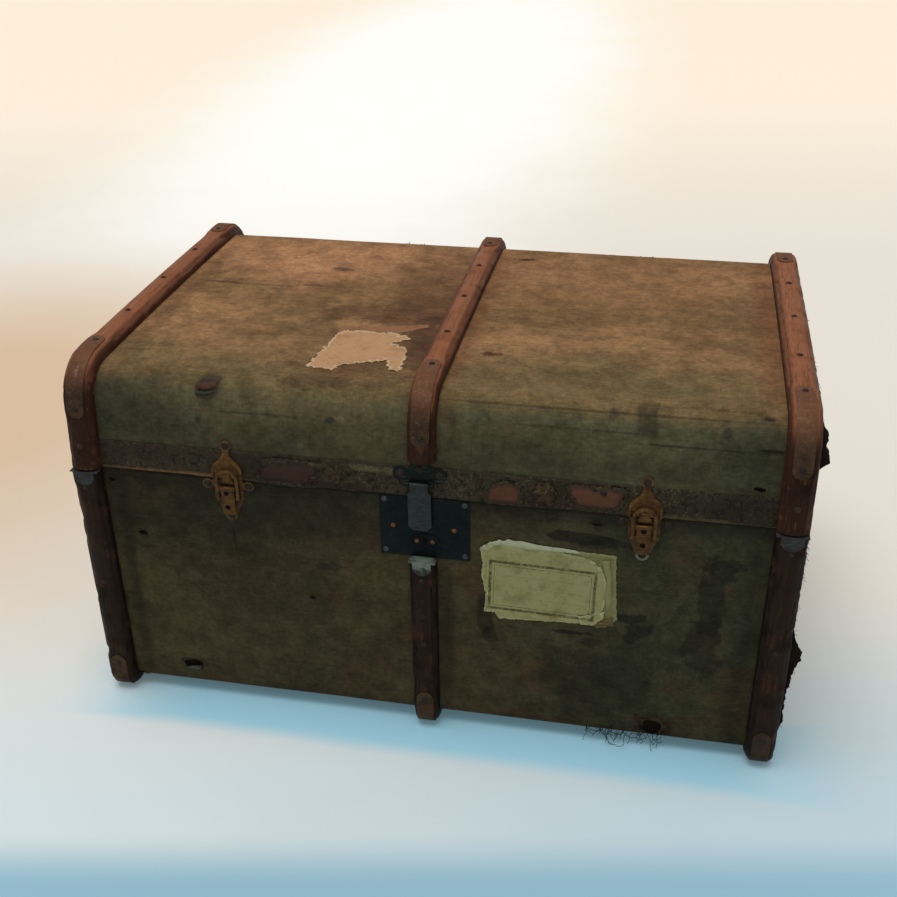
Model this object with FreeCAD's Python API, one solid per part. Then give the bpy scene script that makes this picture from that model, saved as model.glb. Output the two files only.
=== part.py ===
import FreeCAD, Part
import math
import os

# A canvas covered travelling trunk with bentwood battens, a low crowned lid, two draw
# catches, a hasp lock and end handles. Millimetres. The origin is on the floor under the
# middle of the trunk, +X to the right as the trunk's front is faced, +Y to its back, +Z up.

Vector = FreeCAD.Vector

# ---- Case and lid ----
CASE_LENGTH = 908.0  # over the canvas of the two ends
CASE_DEPTH = 580.0  # over the canvas of the front and the back
PARTING_HEIGHT = 357.5  # where the lid meets the case, above the floor
LID_RISE = 130.5  # from there to the crown of the lid canvas
LID_LEAN = 6.3  # degrees that the lid's front and back lean inwards
LID_BEND = 43.0  # canvas radius where the lid's front turns into its top
CROWN_RADIUS = 12000.0  # the slight dome of the lid's top
BOTTOM_BEND = 9.0  # canvas radius along the case's lower edges
PARTING_GAP = 1.0
BOARD = 9.0
CANVAS = 1.0
LINING = 0.8

# ---- Battens, straps and nails ----
BATTEN = 16.0  # thickness
END_BATTEN_WIDTH = 38.0
CENTRE_BATTEN_WIDTH = 34.5
END_BATTEN_OVERHANG = 3.0  # past the canvas of the ends
BATTEN_ROUND = 5.5
STRAP = 1.2
STRAP_WIDTH = 23.0
STRAP_DROP = 58.0  # from the lid's crown down to a lid strap's lower end
STRAP_REACH = 83.0  # from the case's front in to a lid strap's upper end
CASE_STRAP_RISE = 44.0
CASE_STRAP_REACH = 62.0
STRAP_SCREW_INSET = 12.0
CAP = 1.0
CAP_DROP = 19.0
CAP_TIP = 0.6  # how much of the apron's half width its rounded tip rises
NAIL_PITCH = 121.0
NAIL_HEAD_RADIUS = 4.0
NAIL_HEAD = 1.8
NAIL_SHANK_RADIUS = 1.3
NAIL_GRIP = 7.0  # how far a nail goes into the board
CASE_NAIL_DROPS = (24.0, 170.0)  # below the parting line, on the end battens
CENTRE_NAIL_DROPS = (116.0, 171.0, 216.0)
LID_NAIL_RISE = 35.0

# ---- Valance band ----
BAND = 1.5
BAND_HEIGHT = 39.0
BAND_RIVET_INSETS = (91.0, 81.0)  # of the outer rivets, from the left and the right end
BAND_MIDDLE_RIVET_X = (71.0, 219.0)
BAND_RIVET_RISE = 27.0
BAND_RIVET_RADIUS = 4.5
BAND_RIVET_HEAD = 1.6

# ---- Draw catches ----
CATCH_INSETS = (204.0, 185.0)  # from the left and the right end
BASE_SHEET = 1.5
BASE_HALF_WIDTH = 19.0
BASE_SHOULDER = 28.0  # below the parting line
BASE_TIP_RADIUS = 8.0
BASE_TIP_DROP = 54.0
BASE_TIP_SHARE = 0.9  # how much of its tip's width the sheet tapers to
EAR_REACH = 27.0
EAR_DROP = 9.0
EAR_RADIUS = 7.0
EAR_WEB_HALF = 4.9
CATCH_RIVET_RADIUS = 5.0
CATCH_RIVET_HEAD = 2.4
PIVOT_DROP = 11.5
PIVOT_OUT = 6.3
PIVOT_RADIUS = 1.5
KNUCKLE_RADIUS = 2.9
CHEEK = 1.4
CHEEK_GAP = 0.5
LEVER_HALF_WIDTH = 8.5
LEVER_LENGTH = 38.0  # below the pivot
LEVER_SHEET = 1.6
LEVER_HOLE_DROPS = (7.0, 27.0)
STAR_RADIUS = 2.6
STAR_WAIST = 0.9
LOOP_PIN_DROP = 15.0  # below the pivot
LOOP_PIN_OUT = 4.5
LOOP_PIN_RADIUS = 1.25
LOOP_EYE_RADIUS = 2.6
LOOP_BARREL_RADIUS = 2.2
LOOP_STRIP = 4.0
LOOP_SHEET = 2.0
LOOP_BACK = 5.3
LOOP_CLEARANCE = 2.7  # from the lever's side to the loop's arm
RUNNING_FIT = 0.08

# ---- Keepers on the lid ----
KEEPER_SHEET = 1.5
KEEPER_HALF_WIDTH = 19.8
KEEPER_RIM = 3.0
KEEPER_RIM_RISE = 1.6
KEEPER_SHOULDER = 13.0
KEEPER_NECK_HALF = 4.5
KEEPER_NECK_RISE = 36.0
KEEPER_HEAD_RISE = 45.0
KEEPER_WAIST = (0.52, 0.47)  # where the flare's two arcs meet, as shares of its width and height
KEEPER_FLARE = 0.05  # how far the arcs bow, as a share of the flare's height
KEEPER_HOLLOW_NECK = (1.8, 28.5)  # half width and rise of the hollow's upper end
KEEPER_HEAD_RADIUS = 7.0
TONGUE_HALF_WIDTH = 8.5
TONGUE_DROP = 5.5
TONGUE_SHEET = 1.2
TONGUE_ROOT_HALF = 5.1

# ---- Hasp ----
HASP_X = -3.0
HASP_SHEET = 1.5
HASP_LOBE_X = 24.0
HASP_LOBE_RADIUS = 9.5
HASP_LOBE_RISE = 30.0
HASP_TOP_RADIUS = 15.0
HASP_TOP_RISE = 33.0
HASP_TOP_CLEARANCE = 0.5  # up to the end of the lid's middle batten
HASP_FOOT_RISE = 22.0
HASP_FOOT_HALF = 24.0
HASP_AXIS_RISE = 17.0
HASP_AXIS_OUT = 6.6
HASP_PIN_RADIUS = 1.6
HASP_KNUCKLE_RADIUS = 3.2
HASP_KNUCKLE_HALF = 11.5
HASP_EAR = 6.5
FLAP_SHEET = 2.0
FLAP_NECK_HALF = 11.0
FLAP_HALF_WIDTH = 14.5
FLAP_NECK_DROP = 10.0
FLAP_LENGTH = 65.0
FLAP_CHAMFER = 6.0
STAPLE_HALF_WIDTH = 2.0
STAPLE_DROP = 54.5  # from the hasp pin to the middle of the staple
STAPLE_HEIGHT = 12.0
STAPLE_DEPTH = 5.5  # into the trunk, past the canvas
STAPLE_EYE_HEIGHT = 6.0
STAPLE_EYE_DEPTHS = (1.6, 4.4)

# ---- Lock ----
LOCK_X = 2.0
LOCK_PLATE_LENGTH = 114.0
LOCK_PLATE_HEIGHT = 87.0
LOCK_PLATE_DROP = 1.5  # its upper edge, below the parting line
LOCK_PLATE_SHEET = 1.2
LOCK_CASE_LENGTH = 80.0
LOCK_CASE_HEIGHT = 60.0
LOCK_CASE_DEPTH = 13.0
LOCK_CASE_WALL = 1.2
LOCK_CASE_FIT = 0.4
LOCK_CASE_SETTLE = 4.0  # its middle below the middle of the plate
KEYHOLE_DROP = 63.0
KEYHOLE_RADIUS = 3.0
KEYHOLE_SLOT = 2.6
KEYHOLE_LENGTH = 12.0
KEY_POST_RADIUS = 1.2
ESCUTCHEON_HALF_LENGTH = 19.0
ESCUTCHEON_HALF_HEIGHT = 11.5
ESCUTCHEON_RIM = 2.0
ESCUTCHEON_SHEET = 1.4
ESCUTCHEON_RISE = 1.0
CHANNEL_CLEARANCE = 0.7
BOLT_LENGTH = 20.0
BOLT_HEIGHT = 12.0
BOLT_FIT = 0.3
NOSE_LENGTH = 8.0
NOSE_FIT = 0.3
SPRING_SHEET = 0.6
SPRING_WIDTH = 6.0
SPRING_FOOT = 10.0
PLATE_RIVETS = ((-40.0, -45.5), (37.0, -45.5), (-10.5, -65.5), (9.5, -65.5))
PLATE_RIVET_RADIUS = 3.0
PLATE_SCREW_INSET = 6.5
PLATE_SCREW_RADIUS = 3.8

# ---- Lid hinges ----
HINGE_LEAF_WIDTH = 30.0
HINGE_LEAF_LENGTH = 50.0
HINGE_SHEET = 2.0
HINGE_BARREL_RADIUS = 4.5
HINGE_PIN_RADIUS = 2.2
HINGE_STANDOFF = 0.4
HINGE_FIT = 0.3
HINGE_SCREW_RISES = (20.0, 40.0)

# ---- End handles ----
HANDLE_HEIGHT = 262.0
HANDLE_HALF_SPAN = 72.0
HANDLE_OUT = 13.0
HANDLE_DROP = 44.0
HANDLE_ROD_RADIUS = 5.0
HANDLE_GRIP_RADIUS = 9.0
HANDLE_GRIP_HALF = 42.0
HANDLE_CORNER = 22.0
HANDLE_STUB_RADIUS = 3.0
HANDLE_STUB_LENGTH = 13.0
BRACKET_SHEET = 1.6
BRACKET_LENGTH = 46.0
BRACKET_WIDTH = 20.0
BRACKET_EYE_RADIUS = 5.5
BRACKET_EYE_LENGTH = 9.0
BRACKET_CLEARANCE = 1.0  # from a handle's leg to the eye
BRACKET_RIVET_INSET = 6.0

# ---- Paper label ----
LABEL_X = 158.0
LABEL_DROP = 112.5  # its middle, below the parting line
LABEL_SHEET = 0.4
LABEL_OUTLINE = ((-86, 44), (-53, 61), (81, 53), (87, -43), (79, -50), (47, -54), (-62, -59), (-81, -52))

# ---- Worked out from the sizes above ----
TINY = 1e-4
FAR = CASE_LENGTH + CASE_DEPTH
LEAN = math.radians(LID_LEAN)
FRONT = -CASE_DEPTH / 2
END = CASE_LENGTH / 2
CANVAS_BOTTOM = BATTEN + STRAP
CASE_TOP = PARTING_HEIGHT - PARTING_GAP / 2
LID_BOTTOM = PARTING_HEIGHT + PARTING_GAP / 2
LID_TOP = PARTING_HEIGHT + LID_RISE
INNER = CANVAS + BOARD
INSIDE = INNER + LINING
CATCH_X = (CATCH_INSETS[0] - END, END - CATCH_INSETS[1])
BAND_RIVET_X = (BAND_RIVET_INSETS[0] - END, *BAND_MIDDLE_RIVET_X, END - BAND_RIVET_INSETS[1])
END_BATTEN_X = END + END_BATTEN_OVERHANG - END_BATTEN_WIDTH / 2
BATTENS = {
    "left": (-END_BATTEN_X, END_BATTEN_WIDTH),
    "centre": (0.0, CENTRE_BATTEN_WIDTH),
    "right": (END_BATTEN_X, END_BATTEN_WIDTH),
}
HASP_PLATE_TOP = PARTING_HEIGHT + HASP_TOP_RISE + HASP_TOP_RADIUS + HASP_TOP_CLEARANCE
LOCK_PLATE_TOP = PARTING_HEIGHT - LOCK_PLATE_DROP
LOCK_PLATE_BOTTOM = LOCK_PLATE_TOP - LOCK_PLATE_HEIGHT
LOCK_MIDDLE = LOCK_PLATE_TOP - LOCK_PLATE_HEIGHT / 2 - LOCK_CASE_SETTLE
LOCK_CASE_TOP = LOCK_MIDDLE + LOCK_CASE_HEIGHT / 2
HINGE_Y = CASE_DEPTH / 2 + BATTEN + HINGE_BARREL_RADIUS + HINGE_STANDOFF
HANDLE_X = END + HANDLE_OUT


# ---- Basic shapes ----
def box(x_span, y_span, z_span):
    """A block between two values on each axis."""
    low = Vector(min(x_span), min(y_span), min(z_span))
    return Part.makeBox(
        abs(x_span[1] - x_span[0]), abs(y_span[1] - y_span[0]), abs(z_span[1] - z_span[0]), low
    )


def rod_x(x_span, y, z, radius):
    """A round bar along X."""
    return Part.makeCylinder(radius, x_span[1] - x_span[0], Vector(x_span[0], y, z), Vector(1, 0, 0))


def rod_y(x, y_span, z, radius):
    """A round bar along Y."""
    return Part.makeCylinder(radius, y_span[1] - y_span[0], Vector(x, y_span[0], z), Vector(0, 1, 0))


def rod_z(x, y, z_span, radius):
    """A round bar along Z."""
    return Part.makeCylinder(radius, z_span[1] - z_span[0], Vector(x, y, z_span[0]), Vector(0, 0, 1))


def line(a, b):
    """A straight edge."""
    return Part.LineSegment(a, b).toShape()


def arc(a, middle, b):
    """An arc through three points."""
    return Part.Arc(a, middle, b).toShape()


def prism(edges, sweep):
    """The solid that a closed flat outline sweeps."""
    return Part.Face(Part.Wire(edges)).extrude(sweep)


def plate_xz(points, y_span):
    """A flat plate facing Y, its outline given as (x, z) points."""
    corners = [Vector(x, y_span[0], z) for x, z in points]
    wire = Part.makePolygon(corners + corners[:1])
    return Part.Face(wire).extrude(Vector(0, y_span[1] - y_span[0], 0))


def mirrored(shape):
    """The same piece at the back of the trunk."""
    return shape.mirror(Vector(0, 0, 0), Vector(0, 1, 0))


def in_plane(angle, radius, centre):
    """A point of a circle in the YZ plane at X = 0."""
    return Vector(0, centre.y + radius * math.cos(angle), centre.z + radius * math.sin(angle))


def moved_x(vector, x):
    """The same point at another X."""
    return Vector(x, vector.y, vector.z)


# ---- The two outlines, seen from the end ----
def bend_centre():
    """Middle of the bend between the leaning front of the lid and its crowned top."""
    up_y, up_z = math.sin(LEAN), math.cos(LEAN)
    base_y = FRONT + math.cos(LEAN) * LID_BEND
    base_z = PARTING_HEIGHT - math.sin(LEAN) * LID_BEND - (LID_TOP - CROWN_RADIUS)
    reach = CROWN_RADIUS - LID_BEND
    half = base_y * up_y + base_z * up_z
    rise = -half + math.sqrt(half**2 - base_y**2 - base_z**2 + reach**2)
    return Vector(0, base_y + up_y * rise, base_z + up_z * rise + LID_TOP - CROWN_RADIUS)


def lid_face_y(z, offset):
    """Y of the lid's leaning front at a height, with its surface grown outwards."""
    return FRONT + (z - PARTING_HEIGHT) * math.tan(LEAN) - offset / math.cos(LEAN)


def lid_form(offset, x_span, bottom=None):
    """The solid inside the lid's outline, grown outwards by offset."""
    bottom = LID_BOTTOM if bottom is None else bottom
    bend = bend_centre()
    crown = Vector(0, 0, LID_TOP - CROWN_RADIUS)
    radius = LID_BEND + offset
    low_angle = math.pi - LEAN
    high_angle = math.atan2(bend.z - crown.z, bend.y - crown.y)
    front_low = Vector(0, lid_face_y(bottom, offset), bottom)
    front_high = in_plane(low_angle, radius, bend)
    bend_middle = in_plane((low_angle + high_angle) / 2, radius, bend)
    bend_end = in_plane(high_angle, radius, bend)
    top = Vector(0, 0, LID_TOP + offset)
    points = [moved_x(p, x_span[0]) for p in (front_low, front_high, bend_middle, bend_end, top)]
    back = [Vector(p.x, -p.y, p.z) for p in points]
    edges = [
        line(points[0], points[1]),
        arc(points[1], points[2], points[3]),
        arc(points[3], points[4], back[3]),
        arc(back[3], back[2], back[1]),
        line(back[1], back[0]),
        line(back[0], points[0]),
    ]
    return prism(edges, Vector(x_span[1] - x_span[0], 0, 0))


def case_form(offset, x_span, top=None):
    """The solid inside the case's outline, grown outwards by offset."""
    top = CASE_TOP if top is None else top
    radius = BOTTOM_BEND + offset
    side = FRONT - offset
    low = CANVAS_BOTTOM - offset
    centre = Vector(0, side + radius, low + radius)
    points = (
        Vector(0, side, top),
        Vector(0, side, low + radius),
        in_plane(1.25 * math.pi, radius, centre),
        Vector(0, side + radius, low),
    )
    points = [moved_x(p, x_span[0]) for p in points]
    back = [Vector(p.x, -p.y, p.z) for p in points]
    edges = [
        line(points[0], points[1]),
        arc(points[1], points[2], points[3]),
        line(points[3], back[3]),
        arc(back[3], back[2], back[1]),
        line(back[1], back[0]),
        line(back[0], points[0]),
    ]
    return prism(edges, Vector(x_span[1] - x_span[0], 0, 0))


def on_lid_front(shape):
    """Set a piece, drawn on an upright plane at Y = 0 with Z = 0 at the parting line, on the lid."""
    placed = shape.copy()
    placed.rotate(Vector(0, 0, 0), Vector(1, 0, 0), -LID_LEAN)
    placed.translate(Vector(0, FRONT, PARTING_HEIGHT))
    return placed


def lid_front_point(x, out, rise):
    """Where a point drawn for on_lid_front ends up."""
    y = -out * math.cos(LEAN) + rise * math.sin(LEAN)
    z = out * math.sin(LEAN) + rise * math.cos(LEAN)
    return Vector(x, FRONT + y, PARTING_HEIGHT + z)


def lid_front_spot(x, z, offset):
    """A point of the lid's grown front surface at a height, and the way that it faces."""
    return Vector(x, lid_face_y(z, offset), z), Vector(0, -math.cos(LEAN), math.sin(LEAN))


def lid_top_spot(x, y, offset):
    """A point of the lid's grown top surface, and the way that it faces."""
    radius = CROWN_RADIUS + offset
    centre_z = LID_TOP - CROWN_RADIUS
    z = centre_z + math.sqrt(radius**2 - y**2)
    return Vector(x, y, z), Vector(0, y / radius, (z - centre_z) / radius)


def case_front_spot(x, z, offset):
    """A point of the case's grown front surface, and the way that it faces."""
    return Vector(x, FRONT - offset, z), Vector(0, -1, 0)


def behind(spot):
    """The matching point at the back of the trunk."""
    point, way = spot
    return Vector(point.x, -point.y, point.z), Vector(way.x, -way.y, way.z)


# ---- Fasteners ----
def domed(radius, height, shank_radius, shank_length):
    """A fastener standing on Z = 0, its domed head above and its shank below."""
    ball = (radius**2 + height**2) / (2 * height)
    dome = Part.makeSphere(ball, Vector(0, 0, height - ball))
    head = dome.common(rod_z(0, 0, (0, height), radius))
    return head.fuse(rod_z(0, 0, (-shank_length, 0), shank_radius)).removeSplitter()


def countersunk(radius, shank_radius, shank_length):
    """A fastener whose flat head is level with Z = 0."""
    depth = radius - shank_radius
    head = Part.makeCone(shank_radius, radius, depth, Vector(0, 0, -depth))
    return head.fuse(rod_z(0, 0, (-shank_length, -depth), shank_radius)).removeSplitter()


def driven(fastener, spot):
    """The fastener set at a point of a surface, facing the way that the surface does."""
    point, way = spot
    placed = fastener.copy()
    placed.Placement = FreeCAD.Placement(point, FreeCAD.Rotation(Vector(0, 0, 1), way))
    return placed


def group(solids):
    """Several like pieces that share one node."""
    return Part.makeCompound([solid for shape in solids for solid in shape.Solids])


# ---- Case: boards, canvas and lining ----
def case_boards():
    """Front, back, two ends and the bottom, with the lock's recess cut in the front."""
    x_span = (-END + CANVAS, END - CANVAS)
    shell = case_form(-CANVAS, x_span)
    low = CANVAS_BOTTOM + CANVAS
    inner_y = FRONT + INNER
    front = shell.common(box((-FAR, FAR), (FRONT, inner_y), (0, CASE_TOP)))
    front = front.cut(lock_recess())
    back = shell.common(box((-FAR, FAR), (-inner_y, -FRONT), (0, CASE_TOP)))
    bottom = box(x_span, (inner_y, -inner_y), (low, low + BOARD))
    side_z = (low + BOARD, CASE_TOP)
    left = box((x_span[0], x_span[0] + BOARD), (inner_y, -inner_y), side_z)
    right = box((x_span[1] - BOARD, x_span[1]), (inner_y, -inner_y), side_z)
    return {
        "front_board": front,
        "back_board": back,
        "bottom_board": bottom,
        "left_end_board": left,
        "right_end_board": right,
    }


def body_canvas():
    """The painted canvas around the case, open at the top."""
    outside = case_form(0, (-END, END))
    inside = case_form(-CANVAS, (-END + CANVAS, END - CANVAS))
    return outside.cut(inside).cut(lock_recess())


def body_lining():
    """The lining inside the case, open at the top."""
    floor = CANVAS_BOTTOM + INNER
    outer = box((-END + INNER, END - INNER), (FRONT + INNER, -FRONT - INNER), (floor, CASE_TOP))
    inner_x = (-END + INSIDE, END - INSIDE)
    inner = box(inner_x, (FRONT + INSIDE, -FRONT - INSIDE), (floor + LINING, CASE_TOP))
    return outer.cut(inner).cut(lock_recess())


# ---- Battens and their metal ----
def batten_span(name):
    """The X span of a batten."""
    centre, width = BATTENS[name]
    return centre - width / 2, centre + width / 2


def rounded_batten(form, x_span, **limit):
    """A bent strip of wood around a form, its outer edges rounded."""
    solid = form(BATTEN, x_span, **limit).cut(form(0, x_span, **limit))
    core = form(BATTEN / 2, (x_span[0] - 1, x_span[1] + 1), **limit)
    edges = []
    for edge in solid.Edges:
        middle = edge.valueAt((edge.FirstParameter + edge.LastParameter) / 2)
        at_side = min(abs(middle.x - x) for x in x_span) < TINY and edge.BoundBox.XLength < TINY
        if at_side and not core.isInside(middle, TINY, True):
            edges.append(edge)
    return solid.makeFillet(BATTEN_ROUND, edges)


def case_batten(name):
    """Front, bottom and back run of a case batten; the middle one stops under the lock plate."""
    x_span = batten_span(name)
    solid = rounded_batten(case_form, x_span)
    top = case_batten_top(name)
    return solid.cut(box((-FAR, FAR), (-FAR, 0), (top, FAR)))


def case_batten_top(name):
    """Height of the wood at the front; a steel cap closes it."""
    return (LOCK_PLATE_BOTTOM if name == "centre" else CASE_TOP) - CAP


def lid_batten(name):
    """Front, top and back run of a lid batten, let in over the valance band."""
    x_span = batten_span(name)
    solid = rounded_batten(lid_form, x_span)
    if name == "centre":
        solid = solid.cut(box((-FAR, FAR), (-FAR, 0), (0, HASP_PLATE_TOP)))
    return solid.cut(valance_band())


def batten_cap(name):
    """The steel cap on a front batten's upper end, its lower edge rounded."""
    x_span = batten_span(name)
    top = case_batten_top(name) + CAP
    face = FRONT - BATTEN
    flat = (x_span[0] + BATTEN_ROUND, x_span[1] - BATTEN_ROUND)
    half = (flat[1] - flat[0]) / 2
    middle = (flat[0] + flat[1]) / 2
    sheet_y = (face - CAP, face)
    apron = box(flat, sheet_y, (top - CAP_DROP + half * CAP_TIP, top))
    tip = rod_y(middle, sheet_y, top - CAP_DROP + half, half)
    tip = tip.common(box(flat, sheet_y, (0, top)))
    lid = box(x_span, (face, FRONT), (top - CAP, top)).common(case_form(BATTEN, x_span))
    return apron.fuse(tip).fuse(lid).removeSplitter()


def strap(form, x_middle, keep):
    """A thin steel strap over a batten's bend, trimmed to a rounded outline."""
    x_span = (x_middle - STRAP_WIDTH / 2, x_middle + STRAP_WIDTH / 2)
    return form(BATTEN + STRAP, x_span).cut(form(BATTEN, x_span)).common(keep)


def lid_strap(x_middle):
    """Strap over the bend between the lid's front and top."""
    half = STRAP_WIDTH / 2
    low = LID_TOP - STRAP_DROP + half
    high_y = FRONT + STRAP_REACH - half
    x_span = (x_middle - half, x_middle + half)
    keep = box(x_span, (-FAR, high_y), (low, FAR))
    keep = keep.fuse(rod_y(x_middle, (-FAR, FRONT + LID_BEND), low, half))
    keep = keep.fuse(rod_z(x_middle, high_y, (LID_TOP - LID_BEND, FAR), half))
    return strap(lid_form, x_middle, keep)


def case_strap(x_middle):
    """Strap over the bend between the case's front and bottom."""
    half = STRAP_WIDTH / 2
    high = CANVAS_BOTTOM + CASE_STRAP_RISE - half
    far_y = FRONT + CASE_STRAP_REACH - half
    x_span = (x_middle - half, x_middle + half)
    keep = box(x_span, (-FAR, far_y), (-BATTEN, high))
    keep = keep.fuse(rod_y(x_middle, (-FAR, FRONT + BOTTOM_BEND), high, half))
    keep = keep.fuse(rod_z(x_middle, far_y, (-BATTEN, CANVAS_BOTTOM + BOTTOM_BEND), half))
    return strap(case_form, x_middle, keep)


def both_sides(shapes):
    """Front pieces and their copies at the back."""
    shapes = list(shapes)
    return group(shapes + [mirrored(shape) for shape in shapes])


def strap_screw_spots(x_middle):
    """Where the two screws of a lid strap go."""
    inset = STRAP_SCREW_INSET
    grown = BATTEN + STRAP
    low = lid_front_spot(x_middle, LID_TOP - STRAP_DROP + inset, grown)
    high = lid_top_spot(x_middle, FRONT + STRAP_REACH - inset, grown)
    return [low, high]


def nail(through):
    """A batten nail whose shank goes through the batten and the canvas into the board."""
    return domed(NAIL_HEAD_RADIUS, NAIL_HEAD, NAIL_SHANK_RADIUS, through + NAIL_GRIP)


def lid_nails():
    """Nails along the top run and the front and back runs of the lid battens."""
    spots = []
    for name, (x, _) in BATTENS.items():
        spots += [lid_top_spot(x, y, BATTEN) for y in (-NAIL_PITCH, 0, NAIL_PITCH)]
        if name != "centre":
            spots.append(lid_front_spot(x, PARTING_HEIGHT + LID_NAIL_RISE, BATTEN))
    return group([driven(nail(BATTEN + CANVAS), spot) for spot in spots])


def case_nails():
    """Nails down the front and back runs of the case battens."""
    spots = []
    for name, (x, _) in BATTENS.items():
        drops = CENTRE_NAIL_DROPS if name == "centre" else CASE_NAIL_DROPS
        front = [case_front_spot(x, PARTING_HEIGHT - drop, BATTEN) for drop in drops]
        back_drop = max(CASE_NAIL_DROPS)
        spots += front + [behind(case_front_spot(x, PARTING_HEIGHT - back_drop, BATTEN))]
    return group([driven(nail(BATTEN + CANVAS), spot) for spot in spots])


def lid_strap_screws():
    """Two screws in each lid strap."""
    screw = nail(BATTEN + STRAP + CANVAS)
    spots = [spot for x, _ in BATTENS.values() for spot in strap_screw_spots(x)]
    return group([driven(screw, spot) for spot in spots + [behind(spot) for spot in spots]])


def case_strap_screws():
    """One domed screw in the upright run of each case strap and a flush one underneath."""
    grown = BATTEN + STRAP
    upright = nail(grown + CANVAS)
    flush = countersunk(NAIL_HEAD_RADIUS, NAIL_SHANK_RADIUS, grown + CANVAS + NAIL_GRIP)
    screws = []
    for x, _ in BATTENS.values():
        high = CANVAS_BOTTOM + CASE_STRAP_RISE - STRAP_SCREW_INSET
        spot = case_front_spot(x, high, grown)
        under = Vector(x, FRONT + CASE_STRAP_REACH - STRAP_SCREW_INSET, CANVAS_BOTTOM - grown)
        below = (under, Vector(0, 0, -1))
        screws += [driven(upright, spot), driven(upright, behind(spot))]
        screws += [driven(flush, below), driven(flush, behind(below))]
    return group(screws)


# ---- Lid: boards, canvas, lining and band ----
def lid_boards():
    """The bent front, top and back in one board, and the two ends inside it."""
    x_span = (-END + CANVAS, END - CANVAS)
    bent = lid_form(-CANVAS, x_span).cut(lid_form(-INNER, x_span))
    left = lid_form(-INNER, (x_span[0], x_span[0] + BOARD))
    right = lid_form(-INNER, (x_span[1] - BOARD, x_span[1]))
    return {"lid_bent_board": bent, "lid_left_end": left, "lid_right_end": right}


def lid_canvas():
    """The painted canvas over the lid."""
    return lid_form(0, (-END, END)).cut(lid_form(-CANVAS, (-END + CANVAS, END - CANVAS)))


def lid_lining():
    """The lining inside the lid."""
    outer = lid_form(-INNER, (-END + INNER, END - INNER))
    return outer.cut(lid_form(-INSIDE, (-END + INSIDE, END - INSIDE)))


def valance_band():
    """The strip of fibre around the lid's lower edge."""
    outer = lid_form(BAND, (-END - BAND, END + BAND)).cut(lid_form(0, (-END, END)))
    return outer.common(box((-FAR, FAR), (-FAR, FAR), (0, PARTING_HEIGHT + BAND_HEIGHT)))


def band_rivets():
    """Rivets along the front and back of the band."""
    rivet = domed(BAND_RIVET_RADIUS, BAND_RIVET_HEAD, NAIL_SHANK_RADIUS, BAND + CANVAS + NAIL_GRIP)
    spots = [lid_front_spot(x, PARTING_HEIGHT + BAND_RIVET_RISE, BAND) for x in BAND_RIVET_X]
    return group([driven(rivet, spot) for spot in spots + [behind(spot) for spot in spots]])


# ---- Draw catches, drawn around X = 0 on the case's front ----
def catch_frame(shape, index):
    """Set a catch piece, drawn on an upright plane at Y = 0 with Z = 0 at the parting line."""
    placed = shape.copy()
    placed.translate(Vector(CATCH_X[index], FRONT, PARTING_HEIGHT))
    return placed


def catch_base():
    """The base sheet with two ears, a pointed foot and the two cheeks that hold the pivot."""
    sheet_y = (-BASE_SHEET, 0)
    top = -PARTING_GAP
    half = BASE_HALF_WIDTH
    tip = BASE_TIP_RADIUS * BASE_TIP_SHARE
    outline = ((-half, top), (half, top), (half, -BASE_SHOULDER), (tip, -BASE_TIP_DROP))
    outline += ((-tip, -BASE_TIP_DROP), (-half, -BASE_SHOULDER))
    base = plate_xz(outline, sheet_y).fuse(rod_y(0, sheet_y, -BASE_TIP_DROP, BASE_TIP_RADIUS))
    for side in (-1, 1):
        web_z = (-EAR_DROP - EAR_WEB_HALF, -EAR_DROP + EAR_WEB_HALF)
        base = base.fuse(rod_y(side * EAR_REACH, sheet_y, -EAR_DROP, EAR_RADIUS))
        base = base.fuse(box((0, side * EAR_REACH), sheet_y, web_z))
        near = LEVER_HALF_WIDTH + CHEEK_GAP
        cheek = rod_x((near, near + CHEEK), -PIVOT_OUT, -PIVOT_DROP, KNUCKLE_RADIUS)
        foot_z = (-PIVOT_DROP - KNUCKLE_RADIUS, -PIVOT_DROP + KNUCKLE_RADIUS)
        cheek = cheek.fuse(box((near, near + CHEEK), (-PIVOT_OUT, 0), foot_z))
        if side < 0:
            cheek = cheek.mirror(Vector(0, 0, 0), Vector(1, 0, 0))
        base = base.fuse(cheek)
    reach = LEVER_HALF_WIDTH + CHEEK_GAP + CHEEK
    return base.cut(rod_x((-reach, reach), -PIVOT_OUT, -PIVOT_DROP, PIVOT_RADIUS)).removeSplitter()


def catch_pin():
    """The pin between the cheeks, on which the lever turns."""
    reach = LEVER_HALF_WIDTH + CHEEK_GAP + CHEEK
    return rod_x((-reach, reach), -PIVOT_OUT, -PIVOT_DROP, PIVOT_RADIUS)


def catch_base_rivets():
    """The three rivets of a base sheet."""
    rivet = domed(CATCH_RIVET_RADIUS, CATCH_RIVET_HEAD, NAIL_SHANK_RADIUS, BASE_SHEET + CANVAS + NAIL_GRIP)
    places = ((-EAR_REACH, -EAR_DROP), (EAR_REACH, -EAR_DROP), (0, -BASE_TIP_DROP))
    way = Vector(0, -1, 0)
    return [driven(rivet, (Vector(x, -BASE_SHEET, z), way)) for x, z in places]


def star_hole(z, y_span):
    """A four-pointed hole."""
    points = []
    for step in range(8):
        radius = STAR_WAIST if step % 2 else STAR_RADIUS
        angle = step * math.pi / 4
        points.append((radius * math.cos(angle), z + radius * math.sin(angle)))
    return plate_xz(points, y_span)


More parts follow.
